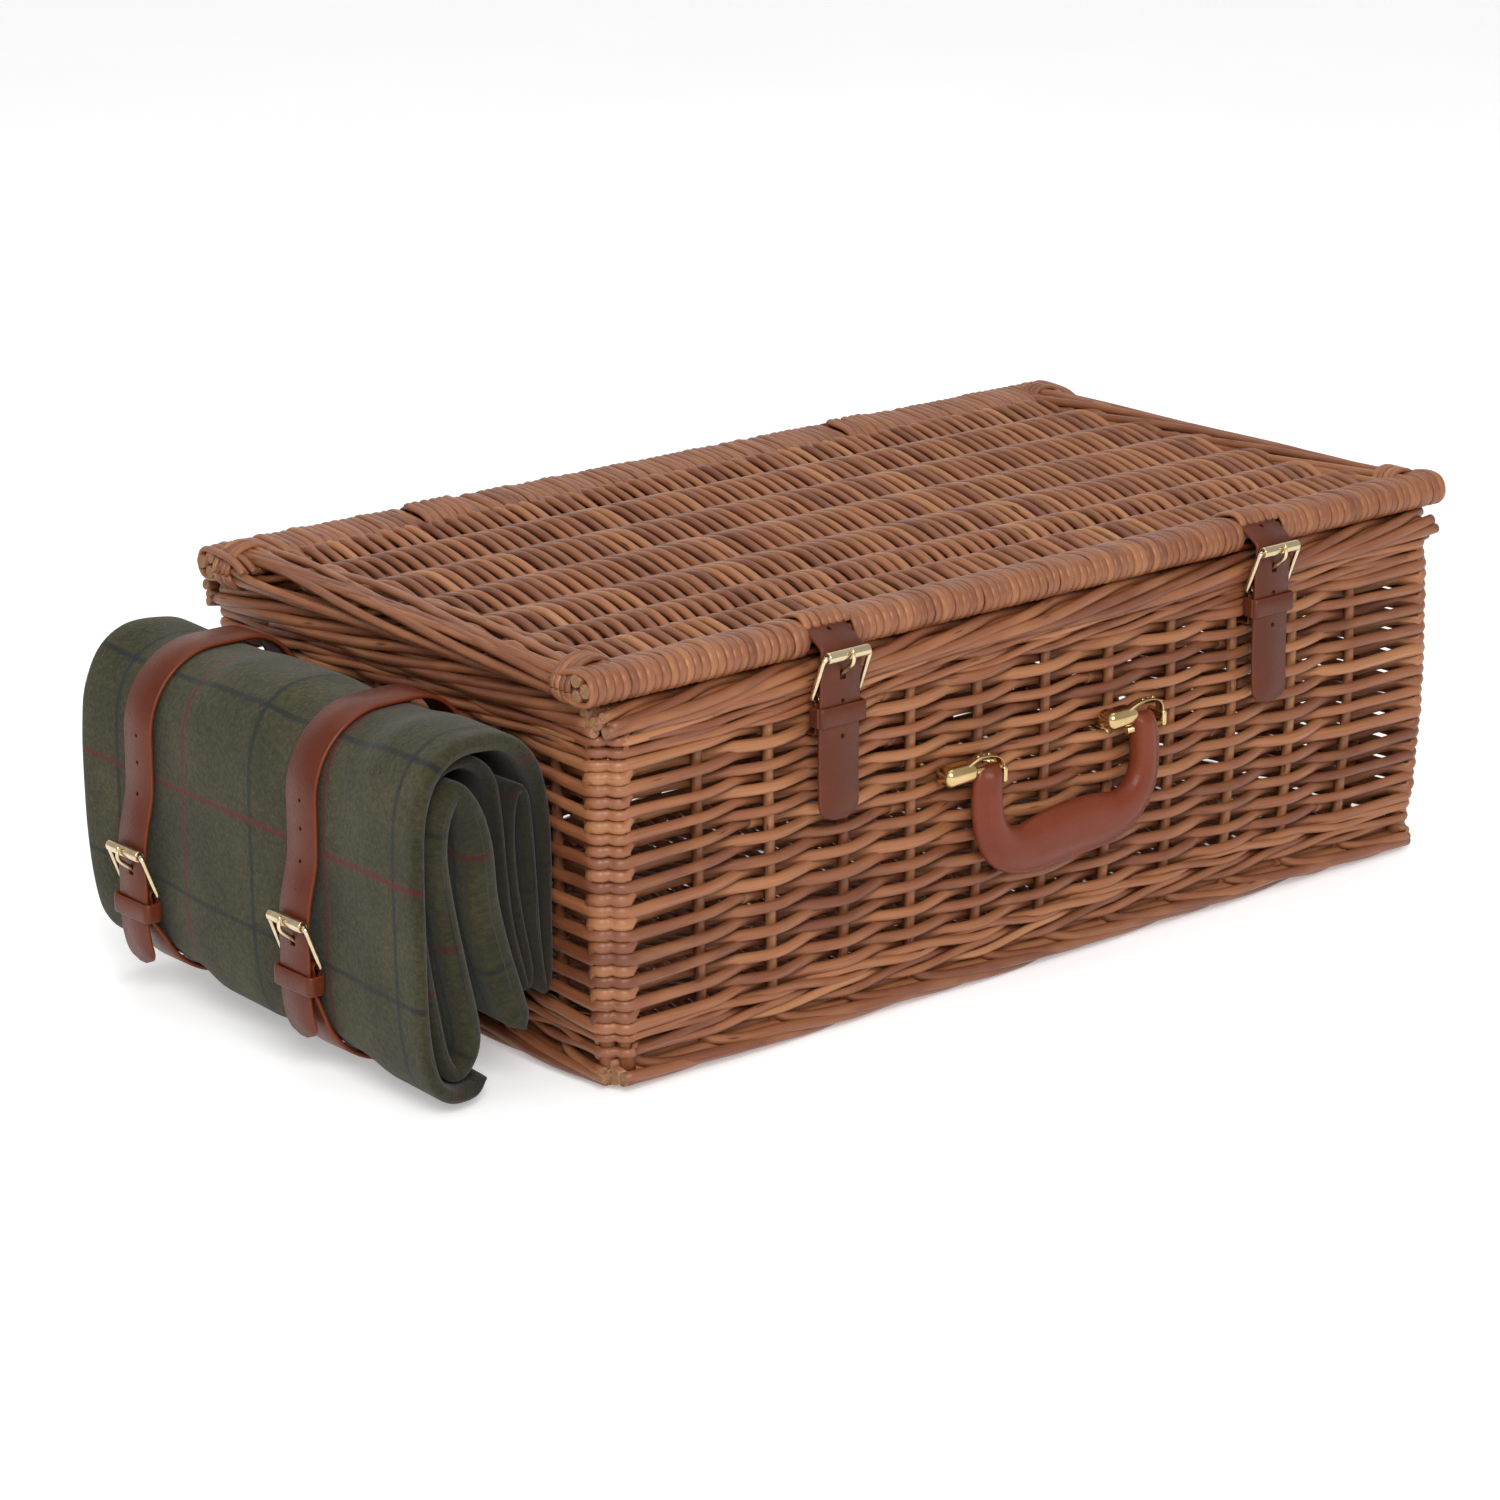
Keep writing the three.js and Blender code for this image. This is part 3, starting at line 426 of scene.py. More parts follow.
def woven_row(rods, signs, height, radius, rise=None):
    """One weaver all the way round the body. signs gives, for each wall, which side of each stake it passes;
    rise gives an extra height at each stake."""
    post_out = WALL_MIDDLE - (POST_INSET / 2) + POST_RADIUS + 0.6 * radius
    path, widths, flats, inside = [], [], [], []
    for w, wall in enumerate(WALLS):
        ends = np.array([POST_INSET, POST_INSET + 8])
        signs_here = np.array(signs[w])
        turn_in = [0.4 if signs_here[i] > 0 else 6.5 for i in (0, -1)]
        stations = np.concatenate([ends, wall.stakes, wall.length - ends[::-1]])
        outs = np.concatenate([
            [post_out, post_out - turn_in[0]], signs_here * (STAKE_RADIUS + radius * 0.9),
            [post_out - turn_in[1], post_out]])
        jitter = np.concatenate([[0, 0], rng.normal(0, 0.5, len(wall.stakes)), [0, 0]])
        if rise is not None:
            jitter[2:-2] += rise[w]
        s = np.arange(stations[0], stations[-1] + 1e-6, (stations[-1] - stations[0]) / round(wall.length / 5))
        out = eased(s, stations, outs)
        drop = np.clip(-out / (STAKE_RADIUS + radius), 0, 1) * wall.weave["drop"]
        z = height - drop - wall.weave["slant"] * np.gradient(out, s)
        z += eased(s, stations, jitter) + 0.7 * np.sin(s / 61 + height / 17 + w)
        path.append(wall.point(s, out, z))
        near_post = np.exp(-(np.minimum(s - stations[0], stations[-1] - s) / 20) ** 2)
        widths.append(radius * (wall.weave["fullness"] + 0.13 * near_post))
        flats.append(0.9 - 0.18 * near_post)
        inside.append(out < -2)
        reach = post_out - WALL_MIDDLE + POST_INSET / 2
        path.append(round_the_corner(wall, WALLS[(w + 1) % 4], reach, height))
        widths.append(np.full(CORNER_POINTS, radius * 1.05))
        flats.append(np.full(CORNER_POINTS, 0.72))
        inside.append(np.zeros(CORNER_POINTS, bool))
    path, widths, flats = np.vstack(path), np.concatenate(widths), np.concatenate(flats)
    inside = np.concatenate(inside)
    lengths_of_willow(rods, path, widths, flats, inside)


def round_the_corner(wall, next_wall, reach, height):
    """A row's way round a corner's two posts, dipping a little between them."""
    centres = [each.point(at, WALL_MIDDLE - POST_INSET / 2, height)
               for each, at in ((wall, wall.length - POST_INSET), (next_wall, POST_INSET))]
    middle_of_both = (centres[0] + centres[1]) / 2
    dip = (middle_of_both, 45, reach - 2.1)
    turns = ([(centres[0], turn, reach) for turn in (6, 24, 42, 58)], [dip],
             [(centres[1], turn, reach) for turn in (32, 48, 66, 84)])
    points = []
    for centre, turn, out in sum(turns, []):
        turn = math.radians(turn)
        points.append(centre + out * (wall.outward * math.cos(turn) + next_wall.outward * math.sin(turn)))
    return np.array(points)


def lengths_of_willow(rods, path, widths, flats, inside):
    """Lays a row as several tapering rods, each ending out of sight behind a stake."""
    count = len(path)
    hidden = np.flatnonzero(inside)
    breaks = sorted(rng.choice(hidden, size=3, replace=False)) if len(hidden) > 3 else [0, count // 2]
    order = [*breaks, breaks[0] + count]
    for first, last in zip(order[:-1], order[1:]):
        index = np.arange(first - 1, last + 2) % count
        taper = np.linspace(1.06, 0.86, len(index))
        rods.rod(lean(path[index]), widths[index] * taper, flat=flats[index], sides=8)


def alternate(count, phase):
    return [1 if (i + phase) % 2 == 0 else -1 for i in range(count)]


def walling(rods):
    """The plain weave between the two bands of waling."""
    first, last = 31.0, WALL_TOP - 13
    rows = int(round((last - first) / ROW_PITCH))
    for row in range(rows + 1):
        z = first + row * (last - first) / rows
        signs = [alternate(len(wall.stakes), row + w) for w, wall in enumerate(WALLS)]
        woven_row(rods, signs, z, WEAVER_RADIUS * rng.uniform(0.94, 1.06))


def wale(rods, height, radius, slope):
    """Three rods that each pass in front of two stakes and behind one, with a diagonal stroke."""
    for strand in range(3):
        signs, rises = [], []
        for wall in WALLS:
            phase = (np.arange(len(wall.stakes)) + strand) % 3
            signs.append(np.where(phase == 0, -1, 1))
            rises.append(slope * np.array([0.0, -1.0, 1.0])[phase])
        woven_row(rods, signs, height, radius, rises)


def stakes(rods):
    """The upright stakes, and a pair of stout posts at each corner."""
    for wall in WALLS:
        for s in wall.stakes:
            z = np.linspace(4, WALL_TOP + 2, 9)
            wander = s + rng.normal(0, 0.35, 9).cumsum() * 0.5
            rods.rod(lean(wall.point(wander, 0, z)), STAKE_RADIUS, across=wall.along)
        for s in (POST_INSET, wall.length - POST_INSET):
            z = np.linspace(3, WALL_TOP - 1, 8)
            post = wall.point(s, WALL_MIDDLE - POST_INSET / 2, z)
            rods.rod(lean(post), POST_RADIUS, across=wall.along, sides=12)


def rolled_border(rods, profile, radius, ends):
    """Each stake is bent over and laid along the wall: profile is its (s, out, z) route from the stake."""
    for wall in WALLS:
        low, high = ends[0] if wall.name in ("front", "back") else ends[1]
        for k in range(-4, len(wall.stakes) + 1):
            at = wall.length / 2 + (k - (len(wall.stakes) - 1) / 2) * STAKE_SPACING
            route = smooth_curve(profile + np.array([at, 0, 0]) + rng.normal(0, 0.5, profile.shape), 6)
            first, last = low + rng.uniform(-1.5, 1.5), wall.length - high + rng.uniform(-1.5, 1.5)
            route = route[(route[:, 0] >= first) & (route[:, 0] <= last)]
            if len(route) < 4:
                continue
            points = wall.point(route[:, 0], route[:, 1], route[:, 2])
            rods.rod(lean(points), radius * rng.uniform(0.92, 1.08), shade=rng.uniform(0, 0.65), sides=10)


def top_border(rods):
    profile = np.array([
        [0, 0, WALL_TOP - 9], [3, 2.0, WALL_TOP - 1.5], [16, 5.0, WALL_TOP + 2.2], [42, 7.2, WALL_TOP + 3.4],
        [80, 7.0, WALL_TOP + 6.6], [114, 4.6, WALL_TOP + 10.8], [140, -0.5, WALL_TOP + 12.0],
        [168, -6.0, WALL_TOP + 10.0]])
    rolled_border(rods, profile, 2.7, ((-2.0, -2.0), (6.0, 6.0)))
    for wall in WALLS:
        inset = -1.0 if wall.name in ("front", "back") else 10.0
        s = np.arange(inset, wall.length - inset, 12.0)
        for out, above, radius in ((-4.5, 4.6, 3.6), (1.0, 7.0, 3.2), (-5.5, 9.8, 3.2)):
            z = WALL_TOP + above + 0.4 * np.sin(s / 37)
            rods.rod(lean(wall.point(s, out, z)), radius, sides=10)


def foot_border(rods):
    profile = np.array([
        [0, 0, 16], [4, 3.0, 12.5], [18, 5.6, 9.6], [45, 7.0, 8.0], [82, 6.8, 5.8], [112, 4.0, 4.4],
        [138, -1.0, 4.2]])
    rolled_border(rods, profile, 2.6, ((3.0, 3.0), (6.0, 6.0)))
    for wall in WALLS:
        s = np.arange(4, wall.length - 4, 12.0)
        rods.rod(lean(wall.point(s, 0.5, 7.5)), 4.2, sides=12)
        rods.rod(lean(wall.point(s, -3.0, 12.0)), 3.4, sides=10)


def basket_body():
    weave = Skins()
    stakes(weave)
    walling(weave)
    for height, slope in WALES:
        wale(weave, height, WALE_RADIUS, slope)
    place(weave.mesh("wicker_walls", WILLOW), "basket", "willow", *[f"wall_{side}" for side in SIDES],
          *[f"corner_post_{end}_{side}" for end in ("front", "back") for side in ("left", "right")])
    top = Skins()
    top_border(top)
    place(top.mesh("wicker_border", WILLOW), "basket", "willow_pale",
          *[f"border_{side}" for side in SIDES])
    foot = Skins()
    foot_border(foot)
    place(foot.mesh("wicker_foot", WILLOW), "basket", "willow_dark",
          *[f"foot_border_{side}" for side in SIDES])
    base = Skins()
    low, high = box_mm("base_panel")
    woven_panel(base, np.linspace(low[1] + 12, high[1] - 12, 7), (low[0] + 2, high[0] - 2),
                (low[1] + 1, high[1] - 1), BASE_Z, BASE_PITCH, lambda x, y: 0 * x)
    place(base.mesh("wicker_base", WILLOW), "basket", "willow_dark", "base_panel")


# ---------------------------------------------------------------- woven panels and the lid

def woven_panel(rods, stick_ys, x_range, y_range, z, pitch, crown):
    """Weavers along Y, over and under sticks along X. crown(x, y) is how far the panel rises."""
    stick_radius, weaver = 2.6, 2.3
    for y in stick_ys:
        x = np.arange(x_range[0], x_range[1] + 1, 14.0)
        stick = np.column_stack([x, y + 0.5 * np.sin(x / 45 + y), z + crown(x, y)])
        rods.rod(stick, stick_radius, across=(0, 1, 0))
    stations = np.concatenate([[y_range[0]], stick_ys, [y_range[1]]])
    depth = y_range[1] - y_range[0]
    y = np.arange(y_range[0], y_range[1] + 1e-6, depth / round(depth / 4.5))
    for i, x in enumerate(np.arange(x_range[0] + 2, x_range[1] - 1, pitch)):
        lift = (stick_radius + weaver * 0.95) * rng.uniform(0.94, 1.04)
        heights = lift * np.array(alternate(len(stations), i))
        heights[[0, -1]] *= 0.2
        sway = eased(y, stations, rng.normal(0, 0.35, len(stations)))
        path = np.column_stack([x + sway, y, z + eased(y, stations, heights) + crown(x, y) * np.ones_like(y)])
        radius = weaver * rng.uniform(0.88, 1.1) * np.linspace(1.04, 0.96, len(y))
        rods.rod(path, radius, across=(1, 0, 0), flat=0.92, sides=8)


def lid_crown(x, y):
    """The lid's weave stands a little proud in its middle."""
    return 1.6 * np.cos(np.clip(x / LID_HALF_LENGTH, -1, 1) * math.pi / 2) * np.cos(y / RAIL_Y * math.pi / 2)


def edge_wraps(rods, side, pitch, inner, width, loop_xs):
    """Weavers that come up beside the last stick, roll over the lid's long edge and tuck in beneath.
    Where a leather loop goes round the edge they lie over it and end on it, sooner on the back edge,
    which turns close to the wall."""
    for x in np.arange(-LID_HALF_LENGTH - 1.5, LID_HALF_LENGTH + 2, pitch):
        over_loop = any(abs(x - loop_x) < STRAP_WIDTH / 2 + 1.6 for loop_x in loop_xs)
        x = x + rng.normal(0, 0.22)
        top, reach = 7.2 + rng.normal(0, 0.28), (8.2 if side < 0 else 6.9) + rng.normal(0, 0.28)
        slip = rng.normal(0, 0.7)
        if over_loop:
            outline = [
                [inner, 0.5], [inner + 6, 4.2], [inner + 13, 8.0], [RAIL_Y - 3, 9.8], [RAIL_Y + 1.2, 9.6],
                [RAIL_Y + 4.6, 7.4], [RAIL_Y + 5.2, 5.2]][:7 if side < 0 else 4]
        else:
            outline = [
                [inner, 0.5], [inner + 6, 3.6], [inner + 13, top - 1.2], [RAIL_Y - 1, top],
                [RAIL_Y + 0.7 * reach, 0.74 * top], [RAIL_Y + reach, -0.5], [RAIL_Y + 0.66 * reach, -5.6],
                [RAIL_Y - 2, -7.0], [RAIL_Y - 11, -4.8]]
        route = smooth_curve(outline, 3.0)
        path = np.column_stack([
            x + slip * np.linspace(-1, 1, len(route)), side * route[:, 0], LID_Z + route[:, 1]])
        shade = np.clip(rng.normal(0.5, 0.16), 0, 1)
        rods.rod(path, width * rng.uniform(0.94, 1.08), across=(1, 0, 0), flat=0.55, shade=shade, sides=8)


def long_rail(rods, side):
    """The three sticks inside a long edge; their cut ends show at the corners."""
    for dy, dz, radius in ((-3.0, 0.2, 2.8), (1.9, 2.7, 2.6), (1.9, -2.7, 2.6)):
        x = np.linspace(-LID_HALF_LENGTH - rng.uniform(2.5, 4), LID_HALF_LENGTH + rng.uniform(2.5, 4), 60)
        thicker = 1 + 0.36 * np.clip((np.abs(x) - LID_HALF_LENGTH + 60) / 50, 0, 1)
        y, z = side * (RAIL_Y - dy * thicker), LID_Z + dz * thicker
        rods.rod(np.column_stack([x, y, z]), radius * (0.5 + 0.5 * thicker), across=(0, 1, 0), sides=14)


def short_edge(rods, side):
    """The band of thin rods that slopes over the lid's short edge, crossing slowly along it."""
    centre, half_width, half_height = LID_HALF_LENGTH - 11.5, 12.0, 6.2
    y = np.linspace(-RAIL_Y + 2, RAIL_Y - 2, 44)
    strands = 18
    for strand in range(strands):
        start = 2 * math.pi * strand / strands
        drift = 0.6 * np.sin(y / 80 + strand) + 0.9 * y / RAIL_Y
        angle = start + drift
        reach = 1 + 0.05 * np.sin(y / 23 + 2 * strand)
        x = side * (centre + half_width * reach * np.cos(angle))
        z = LID_Z + half_height * reach * np.sin(angle) - 2.4 * np.cos(angle)
        rods.rod(np.column_stack([x, y, z]), 2.35 * rng.uniform(0.85, 1.12), across=(0, 0, 1),
                 shade=rng.uniform(0.2, 0.8), sides=8)


def corner_bind(rods, side_x, side_y):
    """Turns of a thin rod that bind the edge rods to the end of the long rail."""
    centre_x, centre_y = side_x * (LID_HALF_LENGTH - 9), side_y * (RAIL_Y - 13)
    for turn in range(4):
        angle = np.linspace(0, 2 * math.pi, 19)
        x = centre_x + side_x * 12.6 * np.cos(angle)
        y = centre_y + side_y * (turn * 3.4 - 5) + 2.0 * np.sin(angle)
        z = LID_Z + 9.2 * np.sin(angle) - 2.4 * np.cos(angle)
        rods.rod(np.column_stack([x, y, z]), 1.75, across=(0, 1, 0), flat=0.8, sides=8)


def lid():
    panel = Skins()
    edge = RAIL_Y - 4
    woven_panel(panel, LID_STICKS, (-LID_HALF_LENGTH + 8, LID_HALF_LENGTH - 8), (-edge, edge), LID_Z,
                LID_PITCH, lid_crown)
    place(panel.mesh("wicker_lid", WILLOW), "lid", "willow", "lid_panel")
    for name, side, inner, pitch, width, loop_xs in (
            ("front", -1, 119, 4.5, 2.5, CLOSURE_XS), ("back", 1, 112, 5.0, 2.7, HINGE_XS)):
        rail = Skins()
        long_rail(rail, side)
        edge_wraps(rail, side, pitch, inner, width, loop_xs)
        place(rail.mesh(f"wicker_lid_edge_{name}", WILLOW), "lid", "willow_pale", f"lid_rail_{name}")
    for name, side in (("left", -1), ("right", 1)):
        edge_rods = Skins()
        short_edge(edge_rods, side)
        corner_bind(edge_rods, side, -1)
        corner_bind(edge_rods, side, 1)
        place(edge_rods.mesh(f"wicker_lid_edge_{name}", WILLOW), "lid", "willow_pale", f"lid_rail_{name}")


# ---------------------------------------------------------------- leather, brass and wool

def leather_material(name, color, dark, roughness=0.42):
    """Smooth hide: fine pores, a little mottling, painted shade along its creases and a lighter cut edge."""
    n = Nodes(name)
    spot = n.add("TexCoord").outputs["Object"]
    mottle = n.noise(spot, 38.0, 4.0)
    fine = n.noise(spot, 620.0, 3.0)
    pores = n.add("TexVoronoi", {"Vector": spot, "Scale": 900.0}, feature="F1").outputs["Distance"]
    base = n.ramp(n.math("ADD", n.math("MULTIPLY", mottle, 0.75), n.math("MULTIPLY", fine, 0.25)),
                  [(0.3, dark), (0.72, color)])
    # Painted shade: the leather is darkened towards a near-black brown along its creases.
    creased = n.mix(n.remap(n.attribute("crease", "Fac"), 0.0, 1.0, 0.0, 0.85), base,
                    (*[c * 0.3 for c in dark], 1))
    edged = n.mix(n.remap(n.attribute("rim", "Fac"), 0.2, 0.9, 0.0, 0.5), creased,
                  (*[min(1, c * 1.5) for c in color], 1))
    n.bump(n.math("ADD", n.remap(pores, 0.0, 0.5, 0.0, 0.6), n.math("MULTIPLY", fine, 0.6)), 0.00012)
    return n.set(Base_Color=edged, Roughness=n.remap(fine, 0.3, 0.7, roughness - 0.05, roughness + 0.08),
                 Specular_IOR_Level=0.25, Coat_Weight=0.03, Coat_Roughness=0.3)


def brass_material(name, dark, bright):
    """Polished brass with faint rubbing marks."""
    n = Nodes(name)
    spot = n.add("TexCoord").outputs["Object"]
    rubbed = n.noise(n.scaled(spot, (60.0, 240.0, 240.0)), 1.0, 3.0)
    color = n.ramp(rubbed, [(0.3, dark), (0.7, bright)])
    n.bump(rubbed, 0.00003)
    return n.set(Base_Color=color, Metallic=1.0, Roughness=n.remap(rubbed, 0.3, 0.7, 0.16, 0.28))


def thread_material():
    n = Nodes("thread")
    twist = n.noise(n.add("TexCoord").outputs["Object"], 1500.0, 2.0)
    n.bump(twist, 0.0001)
    return n.set(Base_Color=n.ramp(twist, [(0.3, rgb(88, 44, 32)), (0.7, rgb(112, 56, 40))]), Roughness=0.7)


def wool_material():
    """Olive tweed with thin maroon and navy lines both ways, and a darker back face that also carries painted
    shade in the folds and at the hem.
    """
    n = Nodes("wool_check")
    cloth = n.attribute("cloth", "Vector")
    back = n.attribute("back", "Fac")
    parts = n.add("SeparateXYZ", {"Vector": cloth})
    fuzz = n.noise(cloth, 0.6, 3.0, 0.7)
    specks = n.noise(cloth, 0.5, 4.0, 0.8)
    clouds = n.noise(cloth, 0.02, 3.0)
    weave = n.ramp(n.math("ADD", n.math("MULTIPLY", specks, 0.7), n.math("MULTIPLY", clouds, 0.3)),
                   [(0.36, rgb(40, 39, 24)), (0.5, rgb(57, 54, 35)), (0.64, rgb(75, 71, 47))])
    color = weave
    for axis, offset, tint, strength in (
            (0, 0.0, rgb(28, 34, 36), 0.75), (0, CHECK, rgb(88, 26, 26), 0.8),
            (1, 0.0, rgb(28, 34, 36), 0.75), (1, CHECK, rgb(88, 26, 26), 0.8)):
        along = n.math("ADD", parts.outputs[axis], n.math("MULTIPLY", n.math("SUBTRACT", fuzz, 0.5), 2.4))
        turned = n.math("ADD", along, CHECK - offset + 1000 * CHECK)
        place_in = n.math("SUBTRACT", n.math("MODULO", turned, 2 * CHECK), CHECK)
        line = n.remap(n.math("ABSOLUTE", place_in), 0.6, 1.9, strength, 0.0)
        color = n.mix(line, color, (*tint, 1))
    # Darkens the cloth by the back mark: partly its darker back face, partly painted shade in the folds and
    # at the near hem.
    reverse_and_shade = n.mix(n.remap(back, 0.0, 1.0, 0.0, 0.85), color, (*rgb(27, 22, 19), 1))
    height = n.math("ADD", n.math("MULTIPLY", specks, 0.7), n.math("MULTIPLY", fuzz, 0.3))
    n.bump(height, 0.0008)
    return n.set(Base_Color=reverse_and_shade, Roughness=0.95, Sheen_Weight=0.12, Sheen_Roughness=0.5,
                 Specular_IOR_Level=0.12)


STRAP_LEATHER = leather_material("strap_leather", rgb(91, 42, 22), rgb(75, 33, 16))
BELT_LEATHER = leather_material("belt_leather", rgb(98, 43, 20), rgb(79, 31, 14), 0.38)
GRIP_LEATHER = leather_material("grip_leather", rgb(117, 53, 29), rgb(99, 41, 21), 0.38)
BRASS = brass_material("pale_brass", (0.6, 0.48, 0.29), (0.76, 0.63, 0.42))
SADDLE_BRASS = brass_material("saddle_brass", (0.54, 0.37, 0.16), (0.7, 0.51, 0.25))
THREAD = thread_material()
WOOL = wool_material()


# ---------------------------------------------------------------- straps and buckles

def band(skins, path, across, width, thickness, tips=(0, 0), creased=True, tilt=0.0):
    """A leather strip along a path, with a line of painted shade near each edge, pressed in as a groove
    unless creased is false. tips are the corner radii of its two ends, and tilt is how far the last point is
    pushed sideways."""
    path = np.asarray(path, float)
    along = np.concatenate([[0], np.cumsum(np.linalg.norm(np.diff(path, axis=0), axis=1))])
    across = unit(np.asarray(across, float))
    face = np.cross(unit(np.gradient(path, axis=0)), across)
    half = np.full(len(path), width / 2)
    for radius, distance in ((tips[0], along), (tips[1], along[-1] - along)):
        if radius:
            inside = np.clip(radius - distance, 0, radius)
            half -= radius - np.sqrt(radius ** 2 - inside ** 2 * 0.999)
    h, t = half[:, None], np.broadcast_to(np.asarray(thickness, float), (len(path),))[:, None] / 2
    groove = 0.28 if creased else 0.0
    edge = min(0.5, float(np.min(t)) * 0.8)
    outline = [(-1, 0.0, 0, 0, 1), (-1, 0.2, edge, 0, 1), (-1, 0.7, 0, 0, 0.4), (-1, 1.9, 0, 0, 0),
               (-1, 2.2, groove, 1, 0), (-1, 2.8, groove, 1, 0), (-1, 3.2, 0, 0, 0), (-1, 4.6, -0.06, 0, 0)]
    front = [*outline, *[(-side, *rest) for side, *rest in reversed(outline)]]
    back = [(1, 0.2, edge, 0, 1), (1, 0.8, 0, 0, 0), (-1, 0.8, 0, 0, 0), (-1, 0.2, edge, 0, 1)]
    ring = []
    for face_side, points in ((1, front), (-1, back)):
        for side, inset, sink, _, _ in points:
            u = side * np.maximum(h - inset, 0.05)
            v = face_side * (t - sink) if (inset > 0 or face_side < 0) else 0 * t
            ring.append(path[:, None] + across * u[..., None] + face[:, None] * v[..., None])
    rings = np.concatenate(ring, axis=1)
    if tilt:
        rings = rings + across * (tilt * (along / along[-1]) ** 2)[:, None, None]
    # This mark lays painted shade along a line near each edge, whether or not a groove is cut there.
    marks = np.array([[crease, rim] for _, _, _, crease, rim in [*front, *back]])
    skins.skin(rings, crease=marks[None, :, 0], rim=marks[None, :, 1])


def punched(piece, cutters):
    """Cuts the cutters' shapes out of a piece."""
    tool = cutters.mesh("cutter", [])
    modifier = piece.modifiers.new("holes", "BOOLEAN")
    modifier.operation, modifier.solver, modifier.object = "DIFFERENCE", "EXACT", tool
    bpy.context.view_layer.update()
    evaluated = piece.evaluated_get(bpy.context.evaluated_depsgraph_get())
    cut_mesh = bpy.data.meshes.new_from_object(evaluated)
    piece.modifiers.clear()
    cut_mesh.set_sharp_from_angle(angle=math.radians(50))
    piece.data = cut_mesh
    bpy.data.objects.remove(tool)
    return piece


def hole(cutters, centre, direction, radius):
    """A round punch through a strap at a point."""
    direction = np.asarray(direction, float)
    line = np.asarray(centre, float) + direction * np.array([-4.0, 0.0, 4.0])[:, None]
    cutters.rod(line, radius, across=np.roll(direction, 1), sides=14)


def slot_cut(cutters, low, high):
    """A box-shaped punch."""
    low, high = np.asarray(low, float), np.asarray(high, float)
    corners = np.array([[low[0], low[1]], [high[0], low[1]], [high[0], high[1]], [low[0], high[1]]])
    rings = np.array([[(x, y, z) for x, y in corners] for z in (low[2], high[2])])
    cutters.skin(rings)


def around(centre, radius, start, stop, count=14):
    """Points on an arc, from start to stop degrees."""
    angle = np.radians(np.linspace(start, stop, count))
    return np.column_stack([centre[0] + radius * np.cos(angle), centre[1] + radius * np.sin(angle)])


class Fitting:
    """Where a buckle sits. Its own x runs across the strap, y towards what it lies on, and z up."""

    def __init__(self, kind, side):
        self.kind, self.side = kind, side
        low, high = box_mm(f"{kind}_buckle_frame_{side}")
        roller = middle(f"{kind}_buckle_roller_{side}")
        centre = (low + high) / 2
        if kind == "closure":
            self.origin = np.array([centre[0], high[1] - WIRE, low[2] + WIRE])
            self.axes = np.array([[1, 0, 0], [0, 1, 0], [0, 0, 1.0]])
        else:
            self.origin = np.array([high[0] - WIRE, centre[1], low[2] + WIRE])
            self.axes = np.array([[0, -1, 0], [1, 0, 0], [0, 0, 1.0]])
        self.roller = self.axes @ (roller - self.origin)

    def at(self, points):
        return self.origin + np.asarray(points, float) @ self.axes

    def flat_at(self, yz):
        """Places a line drawn in the buckle's own (y, z)."""
        yz = np.asarray(yz, float)
        return self.at(np.column_stack([np.zeros(len(yz)), yz]))

    def place_brass(self, skins, what, body):
        piece = skins.mesh(f"{self.kind}_{what}_{self.side}", [BRASS])
        place(piece, body, "brass", f"{self.kind}_buckle_{what}_{self.side}")


